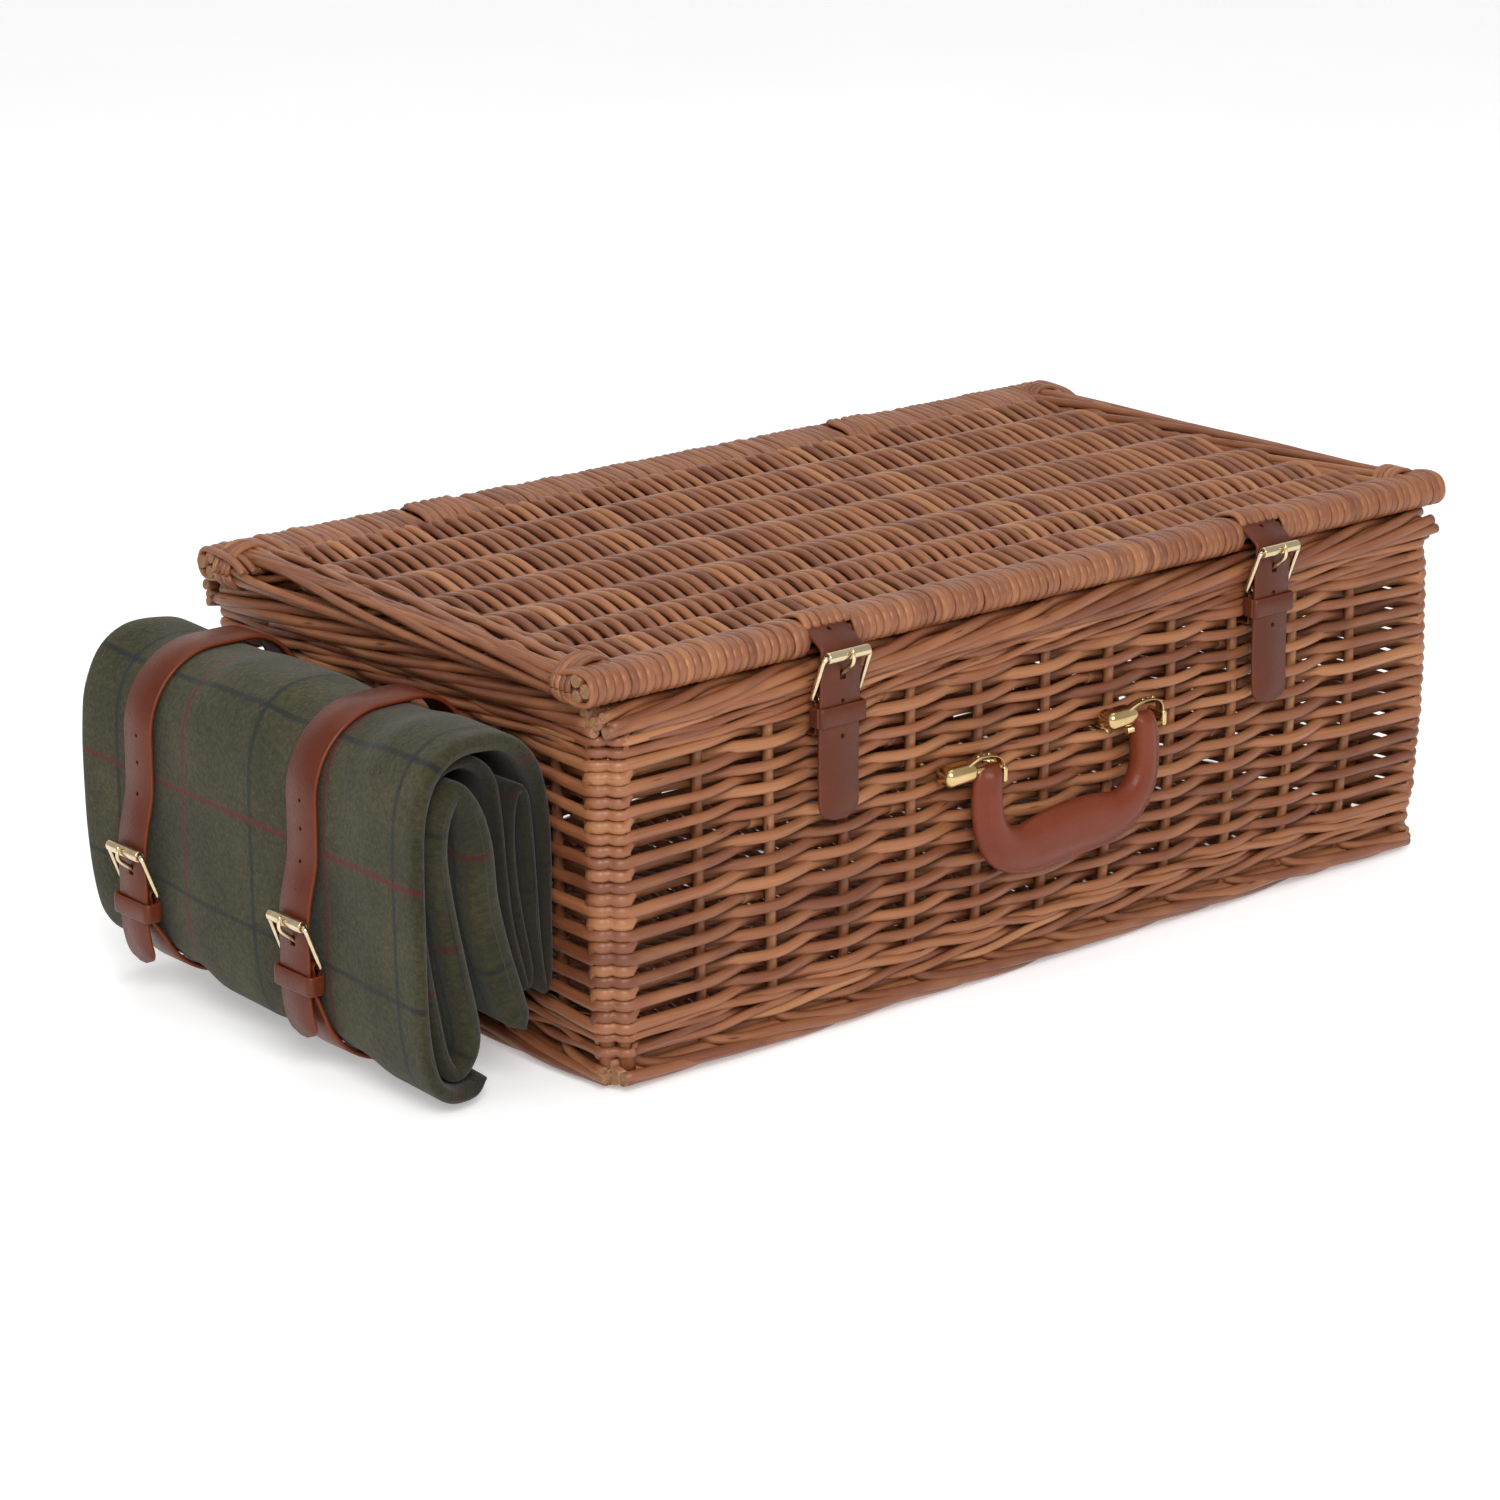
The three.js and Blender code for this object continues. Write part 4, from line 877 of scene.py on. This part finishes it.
def buckle(fit):
    """Frame, roller, tongue and keeper. The frame's lower bar lies along the fitting's x axis."""
    out, rise = -fit.roller[1], fit.roller[2]
    half, width = BUCKLE_HALF_WIDTH, STRAP_WIDTH / 2
    frame_skins = Skins()
    corners = fit.at([[-half, 0, 0], [-half, -out, rise], [half, -out, rise], [half, 0, 0]])
    loop = rounded_path(corners, 3.2, 2.5, closed=True)
    frame_skins.rod(loop, 1.25, across=unit(np.cross(corners[1] - corners[0], corners[2] - corners[1])),
                    flat=0.9, sides=12)
    fit.place_brass(frame_skins, "frame", "basket")
    roller_skins = Skins()
    end = width + 0.4
    profile = np.array([[-end, 1.6], [-end, 2.3], [-end + 0.15, 2.55], [-end + 0.5, 2.7], [-end + 1.1, 2.72],
                        [end - 1.1, 2.72], [end - 0.5, 2.7], [end - 0.15, 2.55], [end, 2.3], [end, 1.6]])
    turns = np.linspace(0, 2 * math.pi, 40, endpoint=False)
    rings = np.array([[(x, -out + r * math.cos(a), rise + r * math.sin(a)) for x, r in profile]
                      for a in turns])
    roller_skins.skin(fit.at(rings.reshape(-1, 3)).reshape(rings.shape), looped=True)
    fit.place_brass(roller_skins, "roller", f"{fit.kind}_roller_{fit.side}")
    tongue_skins = Skins()
    tongue_skins.rod(fit.flat_at(around((0, 0), 2.15, -100, 262, 30)), 1.7, across=fit.axes[0], flat=0.28,
                     sides=10)
    rest = out + 4.0
    pin = smooth_curve([[-1.4, 1.6], [-2.3, 7.4], [-3.8, 10.6], [-7.6, 13.8], [-rest + 0.5, 17.6],
                        [-rest, 21.6], [-rest + 0.7, 24.2]], 0.8)
    taper = np.interp(np.linspace(0, 1, len(pin)), [0, 0.8, 0.96, 1], [1.3, 1.05, 0.85, 0.35])
    tongue_skins.rod(fit.flat_at(pin), taper, across=fit.axes[0], sides=12)
    fit.place_brass(tongue_skins, "tongue", f"{fit.kind}_tongue_{fit.side}")
    leather = STRAP_LEATHER if fit.kind == "closure" else BELT_LEATHER
    keeper_skins = Skins()
    reach = width + 1.5
    wrap = [[-reach, -3], [-reach, -6.5], [reach, -6.5], [reach, 2.1], [-reach, 2.1], [-reach - 0.9, -5.2]]
    line = rounded_path(wrap, 2.4, 1.5)
    line = fit.at(np.column_stack([line, np.full(len(line), -7.6)]))
    band(keeper_skins, line[::-1], fit.axes[2], 9.2, 1.3, creased=False)
    place(keeper_skins.mesh(f"{fit.kind}_keeper_band_{fit.side}", [leather]), "basket",
          "strap_leather" if fit.kind == "closure" else "tan_leather", f"{fit.kind}_keeper_{fit.side}")


def buckle_strap(fit):
    """The short doubled strap that holds a closure's buckle: round the lower bar and in through the wall."""
    thread = THREAD_Z - fit.origin[2]
    inside = -HALF_DEPTH - fit.origin[1] + 16.3
    doubled = [*around((0, 0), 2.15, 250, -65)]
    line = np.vstack([
        rounded_path([[-1.3, thread + 1.5], [-0.75, thread + 8], [-0.75, -3.2]], 2, 2.5),
        doubled,
        rounded_path([[0.65, -3.2], [0.65, thread], [inside, thread], [inside, thread - 15]], 2.5, 2.5)])
    skins, cutters = Skins(), Skins()
    band(skins, fit.flat_at(line), fit.axes[0], STRAP_WIDTH - 1, 1.1, creased=False)
    piece = skins.mesh(f"closure_backing_{fit.side}", [STRAP_LEATHER])
    low, high = fit.origin + np.array([-2.6, -4, -3.2]), fit.origin + np.array([2.6, 4, 4])
    slot_cut(cutters, low, high)
    place(punched(piece, cutters), "basket", "strap_leather", f"buckle_strap_{fit.side}")


def closure_strap(fit, sway):
    """The lid's strap: round its front rail, over the edge, down behind the roller and through the keeper."""
    tail_y = fit.origin[1] - 4.2
    behind_roller = fit.origin[1] + fit.roller[1] + 3.95
    rail = (-RAIL_Y, LID_Z)
    bar_z = fit.origin[2]
    tip_z = box_mm(f"closure_strap_{fit.side}")[0][2]
    loop = around(rail, LOOP_RADIUS, -140, 146, 30)
    drop = np.array([
        [behind_roller + 1.0, bar_z + 24.5], [behind_roller + 0.1, bar_z + 20], [tail_y, bar_z + 10],
        [tail_y, bar_z - 2], [tail_y, bar_z - 14], [tail_y - 0.6, tip_z + 22], [tail_y - 2.4, tip_z]])
    line = np.vstack([loop[:-1], smooth_curve(np.vstack([loop[-1:], drop]), 2.0)])
    path = np.column_stack([np.full(len(line), fit.origin[0]), line])
    skins, cutters = Skins(), Skins()
    band(skins, path, (-1, 0, 0), STRAP_WIDTH, STRAP_THICKNESS, tips=(0, 8), tilt=sway)
    piece = skins.mesh(f"closure_band_{fit.side}", [STRAP_LEATHER])
    x = fit.origin[0]
    for z in (bar_z - 1.5, bar_z - 18):
        hole(cutters, (x, tail_y, z), (0, 1, 0), 1.15)
    flap = math.radians(152)
    hole(cutters, (x, rail[0] + LOOP_RADIUS * math.cos(flap), rail[1] + LOOP_RADIUS * math.sin(flap)),
         (0, math.cos(flap), math.sin(flap)), 1.15)
    slot_cut(cutters, (x - 1.8, tail_y - 4, bar_z + 8.6), (x + 1.8, tail_y + 4, bar_z + 13.6))
    place(punched(piece, cutters), f"closure_strap_{fit.side}", "strap_leather", f"closure_strap_{fit.side}")


def hinge_strap(side, x):
    """A leather loop round the lid's back rail, down the back and in through the wall."""
    back, inside = HALF_DEPTH + 4.2, HALF_DEPTH - 14.6
    down = [[inside, THREAD_Z - 15], [inside, THREAD_Z], [back, THREAD_Z], [back + 0.6, LID_Z - 9],
            [RAIL_Y + LOOP_RADIUS, LID_Z - 1]]
    line = np.vstack([rounded_path(down, [0, 2.5, 2.5, 6, 0], 2.5)[:-1],
                      around((RAIL_Y, LID_Z), LOOP_RADIUS, 2, 330, 34)])
    skins = Skins()
    band(skins, np.column_stack([np.full(len(line), x), line]), (-1, 0, 0), STRAP_WIDTH, 1.9)
    place(skins.mesh(f"hinge_band_{side}", [STRAP_LEATHER]), "basket", "strap_leather", f"hinge_strap_{side}")


def closures():
    for side, sway in (("left", 3.0), ("right", 2.2)):
        fit = Fitting("closure", side)
        buckle(fit)
        buckle_strap(fit)
        closure_strap(fit, sway)
    for side, x in zip(("left", "right"), HINGE_XS):
        hinge_strap(side, x)


# ---------------------------------------------------------------- handle

def curve_through(start, control, end, count):
    t = np.linspace(0, 1, count)[:, None]
    return (1 - t) ** 2 * np.array(start) + 2 * t * (1 - t) * np.array(control) + t ** 2 * np.array(end)


def grip_edges():
    """Matching points down the grip's outer and inner outlines, in (x, z) about the pivots' line."""
    outer = np.vstack([
        curve_through((-LEG_OUTER + 4.6, 4.6), (-LEG_OUTER, -2), (-LEG_OUTER, -14), 10)[:-1],
        curve_through((-LEG_OUTER, -14), (-LEG_OUTER, -56), (-17.25, -56), 16)[:-1],
        curve_through((-17.25, -56), (-9, -56), (0, -56), 8)])
    inner = np.vstack([
        curve_through((-LEG_INNER, 4.6), (-LEG_INNER, -4), (-LEG_INNER, -14), 10)[:-1],
        curve_through((-LEG_INNER, -14), (-LEG_INNER, -29.5), (-30.5, -30.5), 16)[:-1],
        curve_through((-30.5, -30.5), (-15.4, -27), (0, -27), 8)])
    mirror = np.array([-1, 1])
    return (np.vstack([edge, edge[-2::-1] * mirror]) for edge in (outer, inner))


def not_quite_level(points, pivot_z):
    """The handle sits a little higher at its right end."""
    points = np.array(points, float)
    x, z = points[..., 0].copy(), points[..., 2] - pivot_z
    points[..., 2] = pivot_z + z + HANDLE_TILT * x
    points[..., 0] = x - HANDLE_TILT * z
    return points


def handle():
    """A thick leather-covered grip with a stitched outer edge, on two brass saddles."""
    pivot_z = middle("handle_pin_left")[2]
    pivot_y = middle("handle_pin_left")[1]
    outer, inner = grip_edges()
    width = np.linalg.norm(outer - inner, axis=1)
    turn = np.linspace(0, math.pi, 17)
    w = np.cos(turn)
    rows = []
    for out_edge, in_edge, across_mm in zip(outer, inner, width):
        distance = (1 - w) * across_mm / 2
        flange = 3.4
        body_at = np.clip((distance - flange) / (across_mm - flange), 0, 1)
        body = 6.1 * np.clip(1 - np.abs(2 * body_at - 1) ** 2.6, 0, 1) ** 0.5
        rim = 2.6 * np.sqrt(np.clip(distance / 1.6, 0, 1)) * (distance < flange + 2)
        depth = np.maximum(body, rim)
        centre, reach = (out_edge + in_edge) / 2, (out_edge - in_edge) / 2
        flat = centre + reach * w[:, None]
        top = np.clip(flat[:, 1] / 4.7, 0, 1)
        depth = depth * np.sqrt(1 - top ** 2 * 0.97)
        front = np.column_stack([flat[:, 0], -1.1 * depth, flat[:, 1]])
        rows.append(np.vstack([front, front[-2:0:-1] * np.array([1, -0.8, 1])]))
    skins = Skins()
    rings = not_quite_level(np.array(rows) + np.array([0, pivot_y, pivot_z]), pivot_z)
    marks = np.zeros(rings.shape[1])
    skins.skin(rings, crease=marks[None], rim=marks[None])
    place(skins.mesh("grip", [GRIP_LEATHER]), "handle", "tan_leather", "handle_grip")
    stitches(outer, inner, pivot_y, pivot_z)
    for side in ("left", "right"):
        saddle(side)


def stitches(outer, inner, pivot_y, pivot_z):
    """The thread along the grip's outer edge, front and back."""
    inset = outer + unit(inner - outer) * 2.3
    line = resampled(inset[6:-6], 0.4)
    along = np.concatenate([[0], np.cumsum(np.linalg.norm(np.diff(line, axis=0), axis=1))])
    skins = Skins()
    for start in np.arange(0, along[-1] - 3, 3.4):
        places = start + np.array([0.0, 0.6, 1.2, 1.8, 2.3])
        x, z = np.interp(places, along, line[:, 0]), np.interp(places, along, line[:, 1])
        lift = np.array([1.9, 2.65, 2.8, 2.65, 1.9])
        for face in (-1, 1):
            path = np.column_stack([x, pivot_y + face * lift, z + pivot_z])
            skins.rod(not_quite_level(path, pivot_z), 0.3, across=(0, 1, 0), sides=6)
    place(skins.mesh("grip_stitches", [THREAD]), "handle", "tan_leather")


def pillow(skins, low, high, radius):
    """A block with generously rounded edges."""
    low, high = np.asarray(low, float) + radius, np.asarray(high, float) - radius
    latitudes, longitudes = np.linspace(-90, 90, 14), np.linspace(0, 360, 28, endpoint=False) + 6.5
    rings = []
    for latitude in np.radians(latitudes):
        direction = np.array([[math.cos(latitude) * math.cos(a), math.cos(latitude) * math.sin(a),
                               math.sin(latitude)] for a in np.radians(longitudes)])
        rings.append(np.where(direction > 0, high, low) + direction * radius)
    skins.skin(np.array(rings))


def saddle(side):
    """A rounded brass lug that takes the pin's outer end, a thin plate at its other end, and between them
    a hoop over the leg's top, with studs on it."""
    pin_low, pin_high = box_mm(f"handle_pin_{side}")
    x, y, pivot_z = (pin_low + pin_high) / 2
    z = pivot_z + HANDLE_TILT * x
    wall = box_mm("wall_front")[0][1]
    leg_left, leg_right = (-LEG_OUTER, -LEG_INNER) if side == "left" else (LEG_INNER, LEG_OUTER)
    skins = Skins()
    pillow(skins, (leg_left - 16.5, y - 3.2, z - 1.4), (leg_left + 3.6, wall - 0.3, z + 8.0), 4.2)
    pillow(skins, (leg_right + 1.8, y - 2.6, z - 5.2), (leg_right + 5.0, wall - 0.3, z + 3.0), 1.5)
    skins.rod([[leg_left - 4, y, pivot_z], [x, y, pivot_z], [leg_right + 3, y, pivot_z]], 1.6, sides=16)
    for centre in (leg_left - 7, leg_right + 3.4):
        skins.rod([[centre, wall + depth, pivot_z - 1] for depth in (-2, 8, 15.6)], 1.7, across=(1, 0, 0),
                  sides=12)
    hoop = rounded_path([[leg_left - 5, z + 5.5], [leg_left + 1, z + 8.4], [x - 2, z + 9.8], [x + 4, z + 9.6],
                         [leg_right + 2, z + 7.4], [leg_right + 3.6, z - 2.5]], 5, 1.5)
    line = np.column_stack([hoop[:, 0], np.full(len(hoop), y + 0.6), hoop[:, 1]])
    band(skins, line, (0, 1, 0), 5.4, 1.3, creased=False)
    for step in (-3.4, 0, 3.4):
        pillow(skins, (x + step, y - 0.4, z + 8.8), (x + step + 2, y + 1.6, z + 10.8), 0.95)
    place(skins.mesh(f"handle_saddle_{side}", [SADDLE_BRASS]), "basket", "brass", f"handle_bracket_{side}",
          f"handle_pin_{side}")


# ---------------------------------------------------------------- blanket and belts

def base_lift(y):
    """How far the blanket's underside stands off the ground, beyond its near end."""
    return BLANKET_LIFT * (np.asarray(y, float) - BLANKET_NEAR) / (BLANKET_FAR - BLANKET_NEAR)


def folded_line():
    """The blanket's fold seen from its near end. Each row is x, z, the cloth's thickness there, how far its
    end stands back, and how much it is darkened, partly for the cloth's darker back face and partly as
    painted shade in the folds. It starts at the innermost hem."""
    return smooth_curve([
        # an upturned fold in the middle: up, over and down
        [-298, 33, 12, 0, 0.25], [-304, 50, 15, 1, 0.25], [-311, 72, 16, 2, 0.25], [-316, 95, 16, 3, 0.1],
        [-318, 120, 14, 3, 0.25], [-323, 138, 12, 3, 0.25], [-331, 147.5, 11, 3, 0.25],
        [-338, 139, 11, 3, 0.1],
        [-340, 120, 11, 4, 0.2], [-335, 92, 11, 5, 0.2], [-328, 62, 11, 6, 0.2], [-322, 34, 10, 6, 0.2],
        # up beside it, over it, and down on the side of the basket
        [-325, 21, 9, 7, 0.2], [-331, 17, 8, 8, 0.2], [-337, 26, 8, 8, 0.3], [-341, 45, 8, 8, 0.3],
        [-345, 75, 7, 9, 0.3], [-348, 105, 5, 9, 0.4], [-348, 130, 5, 9, 0.4], [-343, 150, 5, 8, 0.5],
        [-334, 158.5, 5.5, 8, 0.5], [-320, 159, 6, 8, 0.6], [-309, 150, 6, 7, 0.7],
        [-305.5, 130, 5.5, 6, 0.7],
        [-304.5, 105, 5.5, 5, 0.7], [-302, 80, 5.5, 5, 0.7], [-297, 60, 5.5, 5, 0.7],
        # two narrow pleats next to the basket
        [-293.5, 50, 5, 5, 0.7], [-290.8, 57, 5, 5, 0.8], [-295, 80, 5.5, 6, 0.8], [-298.5, 105, 5.5, 6, 0.8],
        [-299, 128, 5.5, 6, 0.8], [-296, 141, 5.5, 6, 0.8], [-290.5, 139, 5.5, 6, 0.8],
        [-289, 122, 6.5, 6, 0.9],
        [-289, 100, 7, 5, 0.9], [-287.5, 75, 7, 5, 0.9], [-285.5, 56, 6, 4, 0.9], [-282.5, 46, 5, 4, 0.9],
        [-279.8, 56, 5.5, 4, 0.9], [-280, 80, 6, 4, 0.9], [-280.5, 110, 6.5, 4, 0.9], [-283, 135, 7, 4, 0.7],
        # over the top and down the outside
        [-289, 153, 7.5, 3, 0.3], [-301, 164.5, 8, 2, 0], [-317, 168, 8, 1, 0], [-332, 166.8, 8, 0, 0],
        [-344, 158.5, 8, 0, 0], [-351, 142, 7.5, 0, 0], [-352.8, 120, 7, 0, 0], [-353, 90, 6.5, 0, 0],
        [-352.8, 60, 6.5, 0, 0], [-351, 36, 7, 0, 0], [-346.5, 18.5, 7, 0, 0], [-337, 9, 7, 1, 0.1],
        [-322, 6.8, 6.5, 5, 0.4], [-311, 9.5, 5.5, 12, 0.5]], 2.4)


def inside_belts(x, z):
    """Moves points that lie outside the belts' rounded rectangle onto it."""
    left, right, low, high = -BLANKET_OUTER + 0.3, -BLANKET_INNER - 0.3, BLANKET_BASE + 0.3, BLANKET_TOP - 0.3
    x, z = np.clip(x, left, right), np.clip(z, low, high)
    for (side_x, side_z), radius in CORNER_RADII.items():
        centre_x = (left if side_x < 0 else right) - side_x * radius
        centre_z = (low if side_z < 0 else high) - side_z * radius
        dx, dz = x - centre_x, z - centre_z
        distance = np.hypot(dx, dz)
        beyond = (dx * side_x > 0) & (dz * side_z > 0) & (distance > radius)
        share = np.where(beyond, radius / np.maximum(distance, 1e-6), 1)
        x, z = centre_x + dx * share, centre_z + dz * share
    return x, z


def blanket():
    """One thick sheet, folded over and over. It is drawn in where each belt goes round it."""
    line, thickness, recess, reverse_and_shade = np.split(folded_line(), [2, 3, 4], axis=1)
    thickness, recess, reverse_and_shade = thickness[:, 0], recess[:, 0], reverse_and_shade[:, 0]
    along = np.concatenate([[0], np.cumsum(np.linalg.norm(np.diff(line, axis=0), axis=1))])
    length = along[-1]
    outside = np.flatnonzero(line[:, 0] < -BLANKET_OUTER + 5.5)
    maroon_at = along[outside[np.argmin(np.abs(line[outside, 1] - MAROON_Z))]]
    normal = unit(np.gradient(line, axis=0))[:, ::-1] * np.array([-1, 1])
    half = thickness / 2 * np.sqrt(np.clip(np.minimum(along, length - along) / 5 + 0.04, 0, 1))
    hem = np.array([0, 0.4, 1.2, 2.5, 4.2])
    travels = np.concatenate([hem, np.arange(7, 255, 3.4), BLANKET_LENGTH - hem[::-1]])
    from_end = np.minimum(travels, BLANKET_LENGTH - travels)
    round_end = np.sqrt(np.clip(1 - (1 - np.clip(from_end / 4.6, 0, 1)) ** 2, 0.01, 1))
    recess = recess + 0.8 * np.sin(along / 23)
    rings = []
    sides = np.concatenate([np.ones(len(line)), -np.ones(len(line))])
    order = np.concatenate([np.arange(len(line)), np.arange(len(line))[::-1]])
    for travel, rounding in zip(travels, round_end):
        share = travel / BLANKET_LENGTH
        y = BLANKET_NEAR + recess + share * (BLANKET_FAR - BLANKET_NEAR - 1.6 * recess)
        y_here = BLANKET_NEAR + travel
        pinch = max(np.clip((48 - abs(y_here - belt)) / 32, 0, 1) for belt in BELT_YS)
        pinch = pinch * pinch * (3 - 2 * pinch)
        wander = 0.6 * np.sin(y_here / 47 + along / 47) + 0.3 * np.sin(y_here / 21 - along / 29)
        middle_line = line + normal * wander[:, None] * (1 - pinch)
        wall_side = -BLANKET_INNER - 1.0
        narrow, low = 1 - 0.03 * pinch, 1 - 0.015 * pinch
        x = wall_side + (middle_line[:, 0] + 276.5) * narrow
        z = 4.0 + (middle_line[:, 1] - 4.0) * low
        x, z, ys = x[order], z[order], y[order]
        x = x + sides * normal[order, 0] * half[order] * rounding
        z = z + sides * normal[order, 1] * half[order] * rounding
        tight_x, tight_z = inside_belts(x, z)
        x, z = x + (tight_x - x) * pinch, z + (tight_z - z) * pinch
        z = z + base_lift(y_here) * np.clip((150 - z) / 110, 0, 1)
        rings.append(np.column_stack([x, ys, np.maximum(z, 0.6)]))
    rings = np.array(rings)
    cloth = np.empty(rings.shape)
    cloth[..., 0] = rings[..., 1]
    cloth[..., 1] = (along[order] - maroon_at + CHECK)[None]
    cloth[..., 2] = (sides * 3)[None]
    skins = Skins()
    # Painted shade: the cloth is darkened by the table's last column, for its darker back face and for shade
    # in the folds, and more at the near hem.
    shaded_hem = 0.45 * np.exp(-travels / 5)
    skins.skin(rings, cloth=cloth, back=np.clip(reverse_and_shade[order][None] + shaded_hem[:, None], 0, 1))
    piece = skins.mesh("tartan_blanket", [WOOL])
    place(piece, "basket", "wool", "blanket")


def belt(fit):
    """One belt: round the buckle's bar, under the blanket, up beside the wall, over and down to its tip."""
    pivot_x, y, pivot_z = fit.origin
    lift = BLANKET_BASE + float(base_lift(y - STRAP_WIDTH / 2))
    clear = 0.5 + STRAP_THICKNESS / 2
    lower_outer, lower_inner, upper_inner, upper_outer = CORNER_RADII.values()
    bar = around((pivot_x, pivot_z), 2.15, -40, 215, 16)
    tail_x = pivot_x - 4.2
    line = np.vstack([
        [[pivot_x + 1.2, pivot_z - 13], [pivot_x + 1.2, pivot_z - 8], [pivot_x + 1.2, pivot_z - 4]],
        bar,
        rounded_path([[pivot_x - 1.0, pivot_z - 5], [pivot_x - 0.8, pivot_z - 13.6]], 1, 2.5),
        around((-BLANKET_OUTER + lower_outer, lift + lower_outer), lower_outer + clear, 207, 270, 12),
        around((-BLANKET_INNER - lower_inner, lift + lower_inner), lower_inner + clear, 270, 360, 10),
        around((-BLANKET_INNER - upper_inner, BLANKET_TOP - upper_inner), upper_inner + clear, 0, 90, 14),
        around((-BLANKET_OUTER + upper_outer, BLANKET_TOP - upper_outer), upper_outer + clear, 90, 180, 16),
        smooth_curve([[-BLANKET_OUTER - clear, 118], [-BLANKET_OUTER - clear - 0.6, 104],
                      [tail_x + 1.6, 88], [tail_x, 76], [tail_x, 60], [tail_x, 44], [tail_x + 1.2, 34],
                      [tail_x + 4.4, 22]], 2.5)])
    line = resampled(line, 3.0)
    thickness = np.where(np.arange(len(line)) < 24, 1.1, STRAP_THICKNESS)
    thickness = np.convolve(np.pad(thickness, 2, mode="edge"), np.ones(5) / 5, mode="valid")
    path = np.column_stack([line[:, 0], np.full(len(line), y), line[:, 1]])
    skins, cutters = Skins(), Skins()
    band(skins, path, (0, 1, 0), STRAP_WIDTH - 2, thickness, tips=(0, 8))
    piece = skins.mesh(f"belt_band_{fit.side}", [BELT_LEATHER])
    for z in (132, 119, 104, 91):
        hole(cutters, (-BLANKET_OUTER - clear - 0.5, y, z), (1, 0, 0), 1.0)
    slot_cut(cutters, (pivot_x - 2.9, y - 2.6, pivot_z - 3.2), (pivot_x + 4, y + 2.6, pivot_z + 4))
    slot_cut(cutters, (tail_x - 4, y - 1.8, pivot_z + 8.6), (tail_x + 3, y + 1.8, pivot_z + 13.6))
    place(punched(piece, cutters), "basket", "tan_leather", f"blanket_belt_{fit.side}")


def belts():
    for side in ("near", "far"):
        fit = Fitting("belt", side)
        buckle(fit)
        belt(fit)


def hidden_fittings():
    """The plates inside the wall keep their own shapes."""
    for side in ("left", "right"):
        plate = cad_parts[f"handle_backing_plate_{side}"]
        plate.data.materials.clear()
        plate.data.materials.append(SADDLE_BRASS)


# ---------------------------------------------------------------- studio

def studio():
    """A pale floor that curves up behind the basket, and soft light."""
    n = Nodes("studio_floor")
    speckle = n.noise(n.add("TexCoord").outputs["Object"], 3.0, 2.0)
    floor_material = n.set(Base_Color=n.ramp(speckle, [(0.3, (0.88, 0.88, 0.88)), (0.7, (0.9, 0.9, 0.9))]),
                           Roughness=0.9, Emission_Color=(1.0, 1.0, 1.0, 1.0), Emission_Strength=0.32)
    angles = np.linspace(0, math.pi / 2, 12)
    profile = [(-6.0, 0.0), *[(6 + 2 * math.sin(a), 2 - 2 * math.cos(a)) for a in angles], (8.0, 7.0)]
    mesh = bpy.data.meshes.new("studio_floor")
    points = [(x, y, z) for x in (-9, 9) for y, z in profile]
    count = len(profile)
    mesh.from_pydata(points, [], [(i, count + i, count + i + 1, i + 1) for i in range(count - 1)])
    for face in mesh.polygons:
        face.use_smooth = True
    mesh.materials.append(floor_material)
    floor = bpy.data.objects.new("studio_floor", mesh)
    floor.rotation_euler[2] = -CAMERA_YAW
    bpy.context.scene.collection.objects.link(floor)
    world = bpy.data.worlds.new("studio_world")
    world.use_nodes = True
    world.node_tree.nodes["Background"].inputs["Color"].default_value = (1.0, 1.0, 1.0, 1.0)
    world.node_tree.nodes["Background"].inputs["Strength"].default_value = 0.52
    bpy.context.scene.world = world
    bpy.context.scene.view_settings.view_transform = "Standard"
    for name, where, size, power in (
            ("key", (-1.5, -2.1, 1.8), 1.5, 62), ("fill", (-2.6, -0.6, 1.6), 2.0, 4),
            ("top", (0.2, 0.4, 2.8), 2.4, 18)):
        data = bpy.data.lights.new(f"{name}_light", "AREA")
        data.shape, data.size, data.energy = "DISK", size, power
        light = bpy.data.objects.new(f"{name}_light", data)
        light.location = where
        light.rotation_euler = (Vector((0, 0, 0.1)) - Vector(where)).to_track_quat("-Z", "Y").to_euler()
        bpy.context.scene.collection.objects.link(light)


def camera():
    data = bpy.data.cameras.new("camera")
    data.lens, data.sensor_width = CAMERA_LENS, 36.0
    shot = bpy.data.objects.new("camera", data)
    shot.location = CAMERA_PLACE
    shot.rotation_euler = (math.pi / 2 - CAMERA_PITCH, 0, -CAMERA_YAW)
    bpy.context.scene.collection.objects.link(shot)
    bpy.context.scene.camera = shot


# ---------------------------------------------------------------- the whole scene

basket_body()
lid()
closures()
handle()
belts()
blanket()
hidden_fittings()
camera()
studio()
